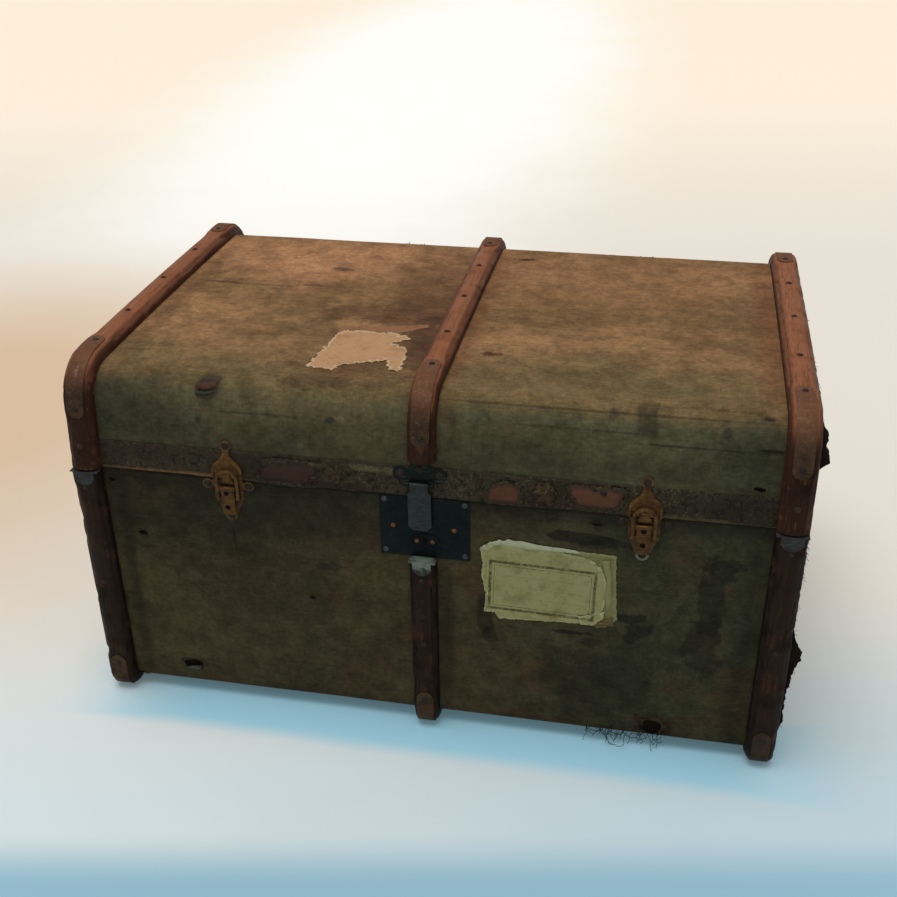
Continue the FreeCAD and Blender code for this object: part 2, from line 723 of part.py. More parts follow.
def catch_lever():
    """The lever with its pivot knuckle, the barrel for the loop's pin and two star holes."""
    half = LEVER_HALF_WIDTH
    sheet_y = (-PIVOT_OUT - LEVER_SHEET / 2, -PIVOT_OUT + LEVER_SHEET / 2)
    foot = -PIVOT_DROP - LEVER_LENGTH
    loop_z = -PIVOT_DROP - LOOP_PIN_DROP
    lever = box((-half, half), sheet_y, (foot, -PIVOT_DROP))
    for drop in LEVER_HOLE_DROPS:
        lever = lever.cut(star_hole(-PIVOT_DROP - drop, sheet_y))
    lever = lever.fuse(rod_x((-half, half), -PIVOT_OUT, -PIVOT_DROP, KNUCKLE_RADIUS))
    barrel = rod_x((-half, half), -LOOP_PIN_OUT, loop_z, LOOP_BARREL_RADIUS)
    lever = lever.fuse(barrel)
    lever = lever.cut(rod_x((-half, half), -LOOP_PIN_OUT, loop_z, LOOP_PIN_RADIUS))
    return lever.cut(rod_x((-half, half), -PIVOT_OUT, -PIVOT_DROP, PIVOT_RADIUS + RUNNING_FIT))


def loop_reach():
    """Inner and outer half width of the loop."""
    inner = LEVER_HALF_WIDTH + LOOP_CLEARANCE
    return inner, inner + LOOP_STRIP


def loop_pin():
    """The pin through the lever that carries the loop."""
    reach = loop_reach()[1]
    return rod_x((-reach, reach), -LOOP_PIN_OUT, -PIVOT_DROP - LOOP_PIN_DROP, LOOP_PIN_RADIUS)


def catch_loop():
    """The flat loop that reaches from the lever up around the tongue of the keeper."""
    inner, outer = loop_reach()
    sheet_y = (-LOOP_BACK - LOOP_SHEET, -LOOP_BACK)
    low = -PIVOT_DROP - LOOP_PIN_DROP
    whole = rod_y(0, sheet_y, 0, outer).fuse(box((-outer, outer), sheet_y, (low, 0)))
    opening = rod_y(0, sheet_y, 0, inner).fuse(box((-inner, inner), sheet_y, (low, 0)))
    loop = whole.cut(opening)
    for span in ((-outer, -inner), (inner, outer)):
        loop = loop.fuse(rod_x(span, -LOOP_PIN_OUT, low, LOOP_EYE_RADIUS))
    hole = rod_x((-outer, outer), -LOOP_PIN_OUT, low, LOOP_PIN_RADIUS + RUNNING_FIT)
    return loop.cut(hole).removeSplitter()


# ---- Keepers on the lid ----
def bell(half_width, shoulder, neck_half, neck_rise, y_span):
    """A plate that flares like a bell from a narrow neck down to the lid's lower edge."""
    low = PARTING_GAP / 2
    waist_x = (half_width + neck_half) * KEEPER_WAIST[0]
    waist_z = shoulder + (neck_rise - shoulder) * KEEPER_WAIST[1]
    slack = (neck_rise - shoulder) * KEEPER_FLARE
    start, waist, end = (neck_half, neck_rise), (waist_x, waist_z), (half_width, shoulder)
    upper = ((start[0] + waist[0]) / 2 - slack, (start[1] + waist[1]) / 2 - slack)
    lower = ((waist[0] + end[0]) / 2 + slack, (waist[1] + end[1]) / 2 + slack)
    right = [Vector(x, y_span[0], z) for x, z in (start, upper, waist, lower, end, (half_width, low))]
    left = [Vector(-p.x, p.y, p.z) for p in right]
    edges = [
        line(left[0], right[0]),
        arc(right[0], right[1], right[2]),
        arc(right[2], right[3], right[4]),
        line(right[4], right[5]),
        line(right[5], left[5]),
        line(left[5], left[4]),
        arc(left[4], left[3], left[2]),
        arc(left[2], left[1], left[0]),
    ]
    return prism(edges, Vector(0, y_span[1] - y_span[0], 0))


def keeper():
    """The keeper: a bell-shaped sheet with a raised rim, a round head and the hooked tongue."""
    back = -BAND
    face = back - KEEPER_SHEET
    rim = face - KEEPER_RIM_RISE
    plate = bell(KEEPER_HALF_WIDTH, KEEPER_SHOULDER, KEEPER_NECK_HALF, KEEPER_NECK_RISE, (rim, back))
    hollow = bell(
        KEEPER_HALF_WIDTH - KEEPER_RIM, KEEPER_SHOULDER - KEEPER_RIM / 2, *KEEPER_HOLLOW_NECK, (rim, face)
    )
    head_z = (KEEPER_NECK_RISE - KEEPER_RIM, KEEPER_HEAD_RISE)
    stem = box((-KEEPER_NECK_HALF, KEEPER_NECK_HALF), (face, back), head_z)
    head = rod_y(0, (face, back), KEEPER_HEAD_RISE, KEEPER_HEAD_RADIUS)
    half = TONGUE_HALF_WIDTH
    tongue_y = (face - TONGUE_SHEET, face)
    upper_half = box((-half, half), tongue_y, (-TONGUE_DROP, half))
    arch = rod_y(0, tongue_y, -TONGUE_DROP, half).common(upper_half)
    arch = arch.fuse(box((-TONGUE_ROOT_HALF, TONGUE_ROOT_HALF), tongue_y, (-TONGUE_DROP, KEEPER_SHOULDER / 2)))
    whole = plate.cut(hollow).fuse(stem).fuse(head).fuse(arch)
    return on_lid_front(whole.removeSplitter())


def keepers():
    """One keeper above each catch."""
    made = []
    for x in CATCH_X:
        piece = keeper()
        piece.translate(Vector(x, 0, 0))
        made.append(piece)
    return group(made)


# ---- Hasp ----
def hasp_plate():
    """The lobed hinge plate of the hasp with its two knuckle ears."""
    back = -BAND
    face = back - HASP_SHEET
    sheet_y = (face, back)
    foot = box((-HASP_FOOT_HALF, HASP_FOOT_HALF), sheet_y, (HASP_FOOT_RISE, HASP_LOBE_RISE))
    plate = foot.fuse(rod_y(0, sheet_y, HASP_TOP_RISE, HASP_TOP_RADIUS))
    for side in (-1, 1):
        plate = plate.fuse(rod_y(side * HASP_LOBE_X, sheet_y, HASP_LOBE_RISE, HASP_LOBE_RADIUS))
    inner = HASP_KNUCKLE_HALF + CHEEK_GAP
    for span in ((-inner - HASP_EAR, -inner), (inner, inner + HASP_EAR)):
        plate = plate.fuse(rod_x(span, -HASP_AXIS_OUT, HASP_AXIS_RISE, HASP_KNUCKLE_RADIUS))
        arm_z = (HASP_AXIS_RISE, HASP_FOOT_RISE + HASP_SHEET)
        plate = plate.fuse(box(span, (-HASP_AXIS_OUT, back), arm_z))
    flap_top = HASP_AXIS_RISE + HASP_KNUCKLE_RADIUS + CHEEK_GAP
    plate = plate.cut(box((-inner, inner), (face, 0), (0, flap_top)))
    reach = inner + HASP_EAR
    hole = rod_x((-reach, reach), -HASP_AXIS_OUT, HASP_AXIS_RISE, HASP_PIN_RADIUS)
    return set_hasp(on_lid_front(plate.cut(hole).removeSplitter()))


def set_hasp(shape):
    """Move a hasp piece, drawn around X = 0, to the hasp's own middle."""
    placed = shape.copy()
    placed.translate(Vector(HASP_X, 0, 0))
    return placed


def hasp_axis():
    """A point of the hasp's hinge line."""
    return lid_front_point(HASP_X, HASP_AXIS_OUT, HASP_AXIS_RISE)


def hasp_pin():
    """The hasp's hinge pin."""
    axis = hasp_axis()
    reach = HASP_KNUCKLE_HALF + CHEEK_GAP + HASP_EAR
    return rod_x((HASP_X - reach, HASP_X + reach), axis.y, axis.z, HASP_PIN_RADIUS)


def hasp_flap():
    """The flap that hangs from the pin over the lock plate, with the staple on its back."""
    axis = hasp_axis()
    flap_y = (axis.y - FLAP_SHEET / 2, axis.y + FLAP_SHEET / 2)
    low = -FLAP_LENGTH
    neck, half, chamfer = FLAP_NECK_HALF, FLAP_HALF_WIDTH, FLAP_CHAMFER
    right = ((neck, 0), (neck, -FLAP_NECK_DROP), (half, -FLAP_NECK_DROP - chamfer / 2))
    right += ((half, low + chamfer), (half - chamfer, low))
    outline = right + tuple((-x, z) for x, z in reversed(right))
    flap = plate_xz([(HASP_X + x, axis.z + z) for x, z in outline], flap_y)
    knuckle_span = (HASP_X - HASP_KNUCKLE_HALF, HASP_X + HASP_KNUCKLE_HALF)
    flap = flap.fuse(rod_x(knuckle_span, axis.y, axis.z, HASP_KNUCKLE_RADIUS))
    flap = flap.cut(rod_x(knuckle_span, axis.y, axis.z, HASP_PIN_RADIUS + RUNNING_FIT))
    middle = axis.z - STAPLE_DROP
    staple_x = (HASP_X - STAPLE_HALF_WIDTH, HASP_X + STAPLE_HALF_WIDTH)
    staple_z = (middle - STAPLE_HEIGHT / 2, middle + STAPLE_HEIGHT / 2)
    staple = box(staple_x, (flap_y[1], FRONT + STAPLE_DEPTH), staple_z)
    eye_z = (middle - STAPLE_EYE_HEIGHT / 2, middle + STAPLE_EYE_HEIGHT / 2)
    eye_y = (FRONT + STAPLE_EYE_DEPTHS[0], FRONT + STAPLE_EYE_DEPTHS[1])
    return flap.fuse(staple.cut(box(staple_x, eye_y, eye_z))).removeSplitter()


# ---- Lock ----
def staple_middle():
    """Height of the middle of the staple."""
    return hasp_axis().z - STAPLE_DROP


def staple_channel(depth):
    """The room, open upwards, in which the staple rises and swings out."""
    reach = STAPLE_HALF_WIDTH + CHANNEL_CLEARANCE
    low = staple_middle() - STAPLE_HEIGHT / 2 - 2 * CHANNEL_CLEARANCE
    return box((HASP_X - reach, HASP_X + reach), (FRONT - BAND, FRONT + depth), (low, PARTING_HEIGHT))


def lock_case_spans(grow=0.0):
    """X, Y and Z spans of the lock case, grown on every side but the front."""
    half = LOCK_CASE_LENGTH / 2 + grow
    x_span = (LOCK_X - half, LOCK_X + half)
    y_span = (FRONT, FRONT + LOCK_CASE_DEPTH + grow)
    z_span = (LOCK_MIDDLE - LOCK_CASE_HEIGHT / 2 - grow, LOCK_CASE_TOP + grow)
    return x_span, y_span, z_span


def lock_recess():
    """What is cut from the front for the lock case and the staple's channel."""
    recess = box(*lock_case_spans(LOCK_CASE_FIT))
    return recess.fuse(staple_channel(STAPLE_DEPTH + CHANNEL_CLEARANCE))


def keyhole(y_span):
    """A keyhole: a round upper part and a slot below it."""
    z = PARTING_HEIGHT - KEYHOLE_DROP
    half = KEYHOLE_SLOT / 2
    slot = box((LOCK_X - half, LOCK_X + half), y_span, (z - KEYHOLE_LENGTH, z))
    return rod_y(LOCK_X, y_span, z, KEYHOLE_RADIUS).fuse(slot)


def lock_plate():
    """The plate on the case's front, with its keyhole and the notch behind the hasp."""
    half = LOCK_PLATE_LENGTH / 2
    sheet_y = (FRONT - LOCK_PLATE_SHEET, FRONT)
    plate = box((LOCK_X - half, LOCK_X + half), sheet_y, (LOCK_PLATE_BOTTOM, LOCK_PLATE_TOP))
    return plate.cut(keyhole(sheet_y)).cut(staple_channel(0))


def escutcheon():
    """The oval rim around the keyhole."""
    half_long, half_high = ESCUTCHEON_HALF_LENGTH, ESCUTCHEON_HALF_HEIGHT
    face = FRONT - LOCK_PLATE_SHEET
    middle = Vector(LOCK_X, face - ESCUTCHEON_RISE, PARTING_HEIGHT - KEYHOLE_DROP - ESCUTCHEON_RIM)
    sweep = Vector(0, ESCUTCHEON_RISE, 0)

    def oval(shrink):
        ellipse = Part.Ellipse(Vector(0, 0, 0), half_long - shrink, half_high - shrink).toShape()
        ellipse.rotate(Vector(0, 0, 0), Vector(1, 0, 0), 90)
        ellipse.translate(middle)
        return Part.Face(Part.Wire([ellipse])).extrude(sweep)

    return oval(0).cut(oval(ESCUTCHEON_RIM))


def lock_case():
    """The open-fronted steel box behind the lock plate, with two ribs that guide the bolt."""
    x_span, y_span, z_span = lock_case_spans()
    wall = LOCK_CASE_WALL
    hollow_x = (x_span[0] + wall, x_span[1] - wall)
    hollow_y = (y_span[0], y_span[1] - wall)
    case = box(x_span, y_span, z_span).cut(box(hollow_x, hollow_y, (z_span[0] + wall, z_span[1] - wall)))
    case = case.cut(staple_channel(STAPLE_DEPTH + CHANNEL_CLEARANCE))
    start, end = bolt_body_span()
    rib_x = (start - 1, end + NOSE_LENGTH / 2)
    middle = staple_middle()
    for side in (-1, 1):
        near = middle + side * (BOLT_HEIGHT / 2 + BOLT_FIT)
        case = case.fuse(box(rib_x, (y_span[0] + wall, hollow_y[1]), (near, near + side * wall)))
    return case.removeSplitter()


def bolt_body_span():
    """X span of the bolt's body while the lock is open."""
    end = HASP_X - STAPLE_HALF_WIDTH - CHANNEL_CLEARANCE - NOSE_LENGTH
    return end - BOLT_LENGTH, end


def lock_bolt():
    """The bolt: a body between the ribs and a nose that goes through the staple."""
    start, end = bolt_body_span()
    middle = staple_middle()
    depth = (STAPLE_EYE_DEPTHS[0] + NOSE_FIT, STAPLE_EYE_DEPTHS[1] - NOSE_FIT)
    back = FRONT + LOCK_CASE_DEPTH - LOCK_CASE_WALL - BOLT_FIT
    half = BOLT_HEIGHT / 2
    body = box((start, end), (FRONT + depth[0], back), (middle - half, middle + half))
    nose_half = STAPLE_EYE_HEIGHT / 2 - NOSE_FIT
    nose_y = (FRONT + depth[0], FRONT + depth[1])
    nose = box((end, end + NOSE_LENGTH), nose_y, (middle - nose_half, middle + nose_half))
    return body.fuse(nose).removeSplitter()


def bolt_spring():
    """The bent leaf spring of the lock, between the lock case's floor and the lower rib."""
    start = bolt_body_span()[0]
    low = LOCK_MIDDLE - LOCK_CASE_HEIGHT / 2 + LOCK_CASE_WALL
    rib = staple_middle() - BOLT_HEIGHT / 2 - BOLT_FIT - LOCK_CASE_WALL
    back = FRONT + LOCK_CASE_DEPTH - LOCK_CASE_WALL
    spring_y = (back - SPRING_WIDTH, back)
    upright = box((start, start + SPRING_SHEET), spring_y, (low, rib))
    foot = box((start, start + SPRING_FOOT), spring_y, (low, low + SPRING_SHEET))
    return upright.fuse(foot).removeSplitter()


def key_post():
    """The post in the lock case that the key turns on."""
    y_span = (FRONT, FRONT + LOCK_CASE_DEPTH - LOCK_CASE_WALL)
    return rod_y(LOCK_X, y_span, PARTING_HEIGHT - KEYHOLE_DROP, KEY_POST_RADIUS)


def plate_rivets():
    """The copper rivets of the lock plate."""
    head = domed(PLATE_RIVET_RADIUS, PLATE_RIVET_RADIUS / 2, NAIL_SHANK_RADIUS, LOCK_PLATE_SHEET)
    spots = []
    for x, drop in PLATE_RIVETS:
        spots.append(case_front_spot(LOCK_X + x, PARTING_HEIGHT + drop, LOCK_PLATE_SHEET))
    return group([driven(head, spot) for spot in spots])


def plate_screws():
    """The four corner screws of the lock plate."""
    reach = LOCK_PLATE_SHEET + CANVAS + NAIL_GRIP
    screw = domed(PLATE_SCREW_RADIUS, NAIL_HEAD, NAIL_SHANK_RADIUS, reach)
    half = LOCK_PLATE_LENGTH / 2 - PLATE_SCREW_INSET
    heights = (LOCK_PLATE_BOTTOM + PLATE_SCREW_INSET, LOCK_PLATE_TOP - PLATE_SCREW_INSET)
    spots = [
        case_front_spot(LOCK_X + side * half, z, LOCK_PLATE_SHEET) for side in (-1, 1) for z in heights
    ]
    return group([driven(screw, spot) for spot in spots])


# ---- Lid hinges on the back ends of the battens ----
def hinge_barrel(x_span):
    """A stretch of hinge barrel, still solid."""
    return rod_x(x_span, HINGE_Y, PARTING_HEIGHT, HINGE_BARREL_RADIUS)


def hinge_joints(x_middle):
    """X spans of the two case barrels and of the lid barrel between them."""
    half = HINGE_LEAF_WIDTH / 2
    third = HINGE_LEAF_WIDTH / 6
    left = (x_middle - half, x_middle - third - HINGE_FIT)
    right = (x_middle + third + HINGE_FIT, x_middle + half)
    return (left, right), (x_middle - third, x_middle + third)


def lower_leaf(x_middle):
    """The case leaf: a plate on the batten's back and two barrels."""
    outer = hinge_joints(x_middle)[0]
    face = CASE_DEPTH / 2 + BATTEN
    sheet_y = (face, face + HINGE_SHEET)
    clear = HINGE_BARREL_RADIUS + HINGE_FIT
    low = PARTING_HEIGHT - HINGE_LEAF_LENGTH
    whole = (outer[0][0], outer[1][1])
    leaf = box(whole, sheet_y, (low, PARTING_HEIGHT - clear))
    for span in outer:
        leaf = leaf.fuse(box(span, sheet_y, (low, PARTING_HEIGHT - HINGE_FIT)))
        leaf = leaf.fuse(hinge_barrel(span))
    return leaf.cut(rod_x(whole, HINGE_Y, PARTING_HEIGHT, HINGE_PIN_RADIUS)).removeSplitter()


def upper_leaf(x_middle):
    """The lid leaf: a plate on the leaning back of the lid's batten and one barrel."""
    outer, inner = hinge_joints(x_middle)
    clear = HINGE_BARREL_RADIUS + HINGE_FIT
    whole = (outer[0][0], outer[1][1])
    sheet_y = (-BATTEN - HINGE_SHEET, -BATTEN)
    leaf = box(whole, sheet_y, (clear + HINGE_FIT, HINGE_LEAF_LENGTH))
    leaf = leaf.fuse(box(inner, sheet_y, (HINGE_FIT, HINGE_LEAF_LENGTH)))
    leaf = mirrored(on_lid_front(leaf)).fuse(hinge_barrel(inner))
    hole = rod_x(inner, HINGE_Y, PARTING_HEIGHT, HINGE_PIN_RADIUS + RUNNING_FIT)
    return leaf.cut(hole).removeSplitter()


def hinge_pin(x_middle):
    """The pin through the three barrels of a hinge."""
    half = HINGE_LEAF_WIDTH / 2
    return rod_x((x_middle - half, x_middle + half), HINGE_Y, PARTING_HEIGHT, HINGE_PIN_RADIUS)


def lower_hinge_screws():
    """Two screws in each case leaf."""
    grown = BATTEN + HINGE_SHEET
    spots = []
    for x, _ in BATTENS.values():
        for rise in HINGE_SCREW_RISES:
            spots.append(behind(case_front_spot(x, PARTING_HEIGHT - rise, grown)))
    return group([driven(nail(grown + CANVAS), spot) for spot in spots])


def upper_hinge_screws():
    """Two screws in each lid leaf."""
    grown = BATTEN + HINGE_SHEET
    spots = []
    for x, _ in BATTENS.values():
        for rise in HINGE_SCREW_RISES:
            spots.append(behind(lid_front_spot(x, PARTING_HEIGHT + rise, grown)))
    return group([driven(nail(grown + CANVAS), spot) for spot in spots])


# ---- End handles ----
def right_side(shape):
    """The same piece at the other end of the trunk."""
    return shape.mirror(Vector(0, 0, 0), Vector(1, 0, 0))


def end_handle():
    """The leather handle of the right end: two legs, a thick grip and a stub at each top."""
    span, corner, rod = HANDLE_HALF_SPAN, HANDLE_CORNER, HANDLE_ROD_RADIUS
    low = HANDLE_HEIGHT - HANDLE_DROP
    bend = corner * (1 - math.sqrt(0.5))
    top_a, top_b = Vector(HANDLE_X, -span, HANDLE_HEIGHT), Vector(HANDLE_X, span, HANDLE_HEIGHT)
    leg_a, leg_b = Vector(HANDLE_X, -span, low + corner), Vector(HANDLE_X, span, low + corner)
    low_a, low_b = Vector(HANDLE_X, -span + corner, low), Vector(HANDLE_X, span - corner, low)
    mid_a, mid_b = Vector(HANDLE_X, -span + bend, low + bend), Vector(HANDLE_X, span - bend, low + bend)
    front_run = [line(top_a, leg_a), arc(leg_a, mid_a, low_a)]
    back_run = [arc(low_b, mid_b, leg_b), line(leg_b, top_b)]
    path = Part.Wire(front_run + [line(low_a, low_b)] + back_run)
    section = Part.Wire([Part.makeCircle(rod, top_a, Vector(0, 0, -1))])
    handle = path.makePipeShell([section], True, False)
    grip_half = HANDLE_GRIP_HALF
    handle = handle.fuse(rod_y(HANDLE_X, (-grip_half, grip_half), low, HANDLE_GRIP_RADIUS))
    for side in (-1, 1):
        stub = sorted((side * span, side * (span + HANDLE_STUB_LENGTH)))
        handle = handle.fuse(Part.makeSphere(rod, Vector(HANDLE_X, side * span, HANDLE_HEIGHT)))
        handle = handle.fuse(rod_y(HANDLE_X, stub, HANDLE_HEIGHT, HANDLE_STUB_RADIUS))
    return handle.removeSplitter()


def bracket_y(side):
    """Y span of the eye that holds a handle's stub."""
    near = side * (HANDLE_HALF_SPAN + HANDLE_ROD_RADIUS + BRACKET_CLEARANCE)
    return sorted((near, near + side * BRACKET_EYE_LENGTH))


def handle_brackets():
    """Two steel plates on each end, each with an eye for a handle's stub."""
    made = []
    for side in (-1, 1):
        eye_y = bracket_y(side)
        middle = (eye_y[0] + eye_y[1]) / 2
        plate_y = (middle - BRACKET_WIDTH / 2, middle + BRACKET_WIDTH / 2)
        plate_z = (HANDLE_HEIGHT - BRACKET_LENGTH / 2, HANDLE_HEIGHT + BRACKET_LENGTH / 2)
        bracket = box((END, END + BRACKET_SHEET), plate_y, plate_z)
        bracket = bracket.fuse(rod_y(HANDLE_X, eye_y, HANDLE_HEIGHT, BRACKET_EYE_RADIUS))
        web_z = (HANDLE_HEIGHT - BRACKET_EYE_RADIUS, HANDLE_HEIGHT + BRACKET_EYE_RADIUS)
        bracket = bracket.fuse(box((END, HANDLE_X), eye_y, web_z))
        hole = rod_y(HANDLE_X, eye_y, HANDLE_HEIGHT, HANDLE_STUB_RADIUS + RUNNING_FIT)
        made.append(bracket.cut(hole).removeSplitter())
    return group(made + [right_side(shape) for shape in made])


def bracket_rivets():
    """Two rivets in each handle bracket."""
    rivet = domed(NAIL_HEAD_RADIUS, NAIL_HEAD, NAIL_SHANK_RADIUS, BRACKET_SHEET + CANVAS + NAIL_GRIP)
    made = []
    for side in (-1, 1):
        middle = sum(bracket_y(side)) / 2
        for end in (-1, 1):
            z = HANDLE_HEIGHT + end * (BRACKET_LENGTH / 2 - BRACKET_RIVET_INSET)
            spot = (Vector(END + BRACKET_SHEET, middle, z), Vector(1, 0, 0))
            made.append(driven(rivet, spot))
    return group(made + [right_side(shape) for shape in made])


# ---- Label and lid fittings ----
def paper_label():
    """The bare paper label on the case's front."""
    middle = PARTING_HEIGHT - LABEL_DROP
    points = [(LABEL_X + x, middle + z) for x, z in LABEL_OUTLINE]
    return plate_xz(points, (FRONT - LABEL_SHEET, FRONT))


def lid_fitting_rivets():
    """The rivets of the hasp's hinge plate and of the two keepers."""
    sheet = BAND + HASP_SHEET
    rivet = domed(CATCH_RIVET_RADIUS, CATCH_RIVET_HEAD, NAIL_SHANK_RADIUS, sheet + CANVAS + NAIL_GRIP)
    way = Vector(0, -math.cos(LEAN), math.sin(LEAN))
    places = [(x, KEEPER_HEAD_RISE) for x in CATCH_X] + [(HASP_X, HASP_TOP_RISE + HASP_LOBE_RADIUS / 3)]
    places += [(HASP_X + side * HASP_LOBE_X, HASP_LOBE_RISE) for side in (-1, 1)]
    return group([driven(rivet, (lid_front_point(x, sheet, rise), way)) for x, rise in places])


# ---- The whole trunk ----
def nodes():
    """Every piece by its node's name."""
    middles = [x for x, _ in BATTENS.values()]
    made = case_boards()
    made.update(lid_boards())
    made["body_canvas"] = body_canvas()
    made["body_lining"] = body_lining()
    made["lid_canvas"] = lid_canvas()
    made["lid_lining"] = lid_lining()
    made["valance_band"] = valance_band()
    for name in BATTENS:
        made[f"body_batten_{name}"] = case_batten(name)
        made[f"lid_batten_{name}"] = lid_batten(name)
    made["batten_end_caps"] = group([batten_cap(name) for name in BATTENS])
    made["body_bend_straps"] = both_sides([case_strap(x) for x in middles])
    made["lid_bend_straps"] = both_sides([lid_strap(x) for x in middles])
    made["body_strap_screws"] = case_strap_screws()
    made["lid_strap_screws"] = lid_strap_screws()
    made["body_batten_nails"] = case_nails()
    made["lid_batten_nails"] = lid_nails()
    made["band_rivets"] = band_rivets()
    made["lock_plate"] = lock_plate()
    made["keyhole_escutcheon"] = escutcheon()
    made["lock_case"] = lock_case()
    made["lock_bolt"] = lock_bolt()
    made["bolt_spring"] = bolt_spring()
    made["key_post"] = key_post()
    made["lock_plate_rivets"] = plate_rivets()
    made["lock_plate_screws"] = plate_screws()
    made["hasp_hinge_plate"] = hasp_plate()
    made["hasp_pin"] = hasp_pin()
    made["hasp_flap"] = hasp_flap()
    made["catch_keepers"] = keepers()
    made["lid_fitting_rivets"] = lid_fitting_rivets()
    made["catch_bases"] = group([catch_frame(catch_base(), i) for i in range(2)])
    made["catch_pivot_pins"] = group([catch_frame(catch_pin(), i) for i in range(2)])
    rivets = [catch_frame(rivet, i) for i in range(2) for rivet in catch_base_rivets()]
    made["catch_base_rivets"] = group(rivets)
    for index, side in enumerate(("left", "right")):
        made[f"{side}_catch_lever"] = catch_frame(catch_lever(), index)
        made[f"{side}_loop_pin"] = catch_frame(loop_pin(), index)
        made[f"{side}_catch_loop"] = catch_frame(catch_loop(), index)
    made["lower_hinge_leaves"] = group([lower_leaf(x) for x in middles])
    made["upper_hinge_leaves"] = group([upper_leaf(x) for x in middles])
    made["hinge_pins"] = group([hinge_pin(x) for x in middles])
    made["lower_hinge_screws"] = lower_hinge_screws()
    made["upper_hinge_screws"] = upper_hinge_screws()
    made["handle_brackets"] = handle_brackets()
    made["handle_bracket_rivets"] = bracket_rivets()
    made["right_handle"] = end_handle()
    made["left_handle"] = right_side(end_handle())
    made["paper_label"] = paper_label()
    return made


os.makedirs("parts", exist_ok=True)
for node, shape in sorted(nodes().items()):
    bad = [solid for solid in shape.Solids if not solid.isValid()]
    print(node, len(shape.Solids), "solids", round(shape.Volume), "mm3", "INVALID" if bad else "")
    shape.exportStep(f"parts/{node}.step")
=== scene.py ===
"""Dresses a canvas covered travelling trunk: worn cloth, bent wood, straps and old fittings.

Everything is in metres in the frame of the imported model: the origin on the floor under the
trunk's middle, +X to the right as its front is faced, +Y to its back and +Z up.
"""

from __future__ import annotations

import logging
import math
import random
from dataclasses import dataclass, field
from enum import Enum
from typing import Callable, Sequence

import bmesh
import bpy
from mathutils import Matrix, Vector, noise
from mathutils.bvhtree import BVHTree

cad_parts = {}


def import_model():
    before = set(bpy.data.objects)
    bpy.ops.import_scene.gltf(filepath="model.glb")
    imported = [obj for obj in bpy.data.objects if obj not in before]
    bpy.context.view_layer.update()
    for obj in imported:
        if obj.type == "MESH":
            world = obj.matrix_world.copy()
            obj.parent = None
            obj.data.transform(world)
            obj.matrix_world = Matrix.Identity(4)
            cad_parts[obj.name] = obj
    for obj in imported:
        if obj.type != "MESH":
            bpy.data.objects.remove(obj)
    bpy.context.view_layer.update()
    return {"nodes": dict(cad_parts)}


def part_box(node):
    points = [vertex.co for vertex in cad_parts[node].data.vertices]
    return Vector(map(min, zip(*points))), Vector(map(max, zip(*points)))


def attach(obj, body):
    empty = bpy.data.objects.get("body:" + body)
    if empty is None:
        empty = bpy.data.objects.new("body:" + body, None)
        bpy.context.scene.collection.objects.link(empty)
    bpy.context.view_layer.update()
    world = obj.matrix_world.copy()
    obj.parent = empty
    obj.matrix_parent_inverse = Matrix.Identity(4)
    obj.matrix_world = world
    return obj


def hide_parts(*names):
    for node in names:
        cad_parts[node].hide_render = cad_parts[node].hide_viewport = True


log = logging.getLogger("trunk")

MM = 0.001
TAU = 2 * math.pi
Rgb = tuple[int, int, int]
Place = tuple[float, float, float]
Piece = bpy.types.Object
Socket = bpy.types.NodeSocket


# ---- Small helpers ----
def shade(red: int, green: int, blue: int) -> tuple[float, float, float, float]:
    """A colour as it is seen on a screen, turned into the values that shaders use.

    Args:
        red, green, blue: the colour's parts, 0 to 255.

    Returns:
        The linear colour with full alpha.
    """

    def linear(part: int) -> float:
        """One part of the colour."""
        value = part / 255
        return value / 12.92 if value <= 0.04045 else ((value + 0.055) / 1.055) ** 2.4

    return linear(red), linear(green), linear(blue), 1.0


def smooth(value: float, low: float, high: float) -> float:
    """Rise gently from 0 at low to 1 at high."""
    share = min(max((value - low) / (high - low), 0.0), 1.0)
    return share * share * (3 - 2 * share)


def rough(x: float, y: float, z: float, scale: float) -> float:
    """Smooth random value from about -1 to 1 at a place, with the given cycles per metre."""
    return noise.noise(Vector((x, y, z)) * scale)


def new_object(name: str, bm: bmesh.types.BMesh, sharp: float = 40.0) -> Piece:
    """Turn a bmesh into a linked object with smooth faces.

    Args:
        name: the piece's name.
        bm: the mesh under work, which is freed.
        sharp: degrees between faces above which an edge stays sharp.

    Returns:
        The new object, at the origin.
    """
    mesh = bpy.data.meshes.new(name)
    bm.to_mesh(mesh)
    bm.free()
    mesh.shade_smooth()
    mesh.set_sharp_from_angle(angle=math.radians(sharp))
    made = bpy.data.objects.new(name, mesh)
    bpy.context.scene.collection.objects.link(made)
    return made


def place_piece(piece: Piece, body: str, slot: str, finish: "Finish", replaced: Sequence[str] = ()) -> None:
    """Give a piece its body, its material and the nodes that it stands for.

    Args:
        piece: the finished object.
        body: the body that it moves with.
        slot: not used.
        finish: what it is dressed in.
        replaced: names of the nodes that it hides.
    """
    piece.data.materials.clear()
    piece.data.materials.append(finish.material())
    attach(piece, body)
    if replaced:
        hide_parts(*replaced)
    log.info("%s rides on %s", piece.name, body)


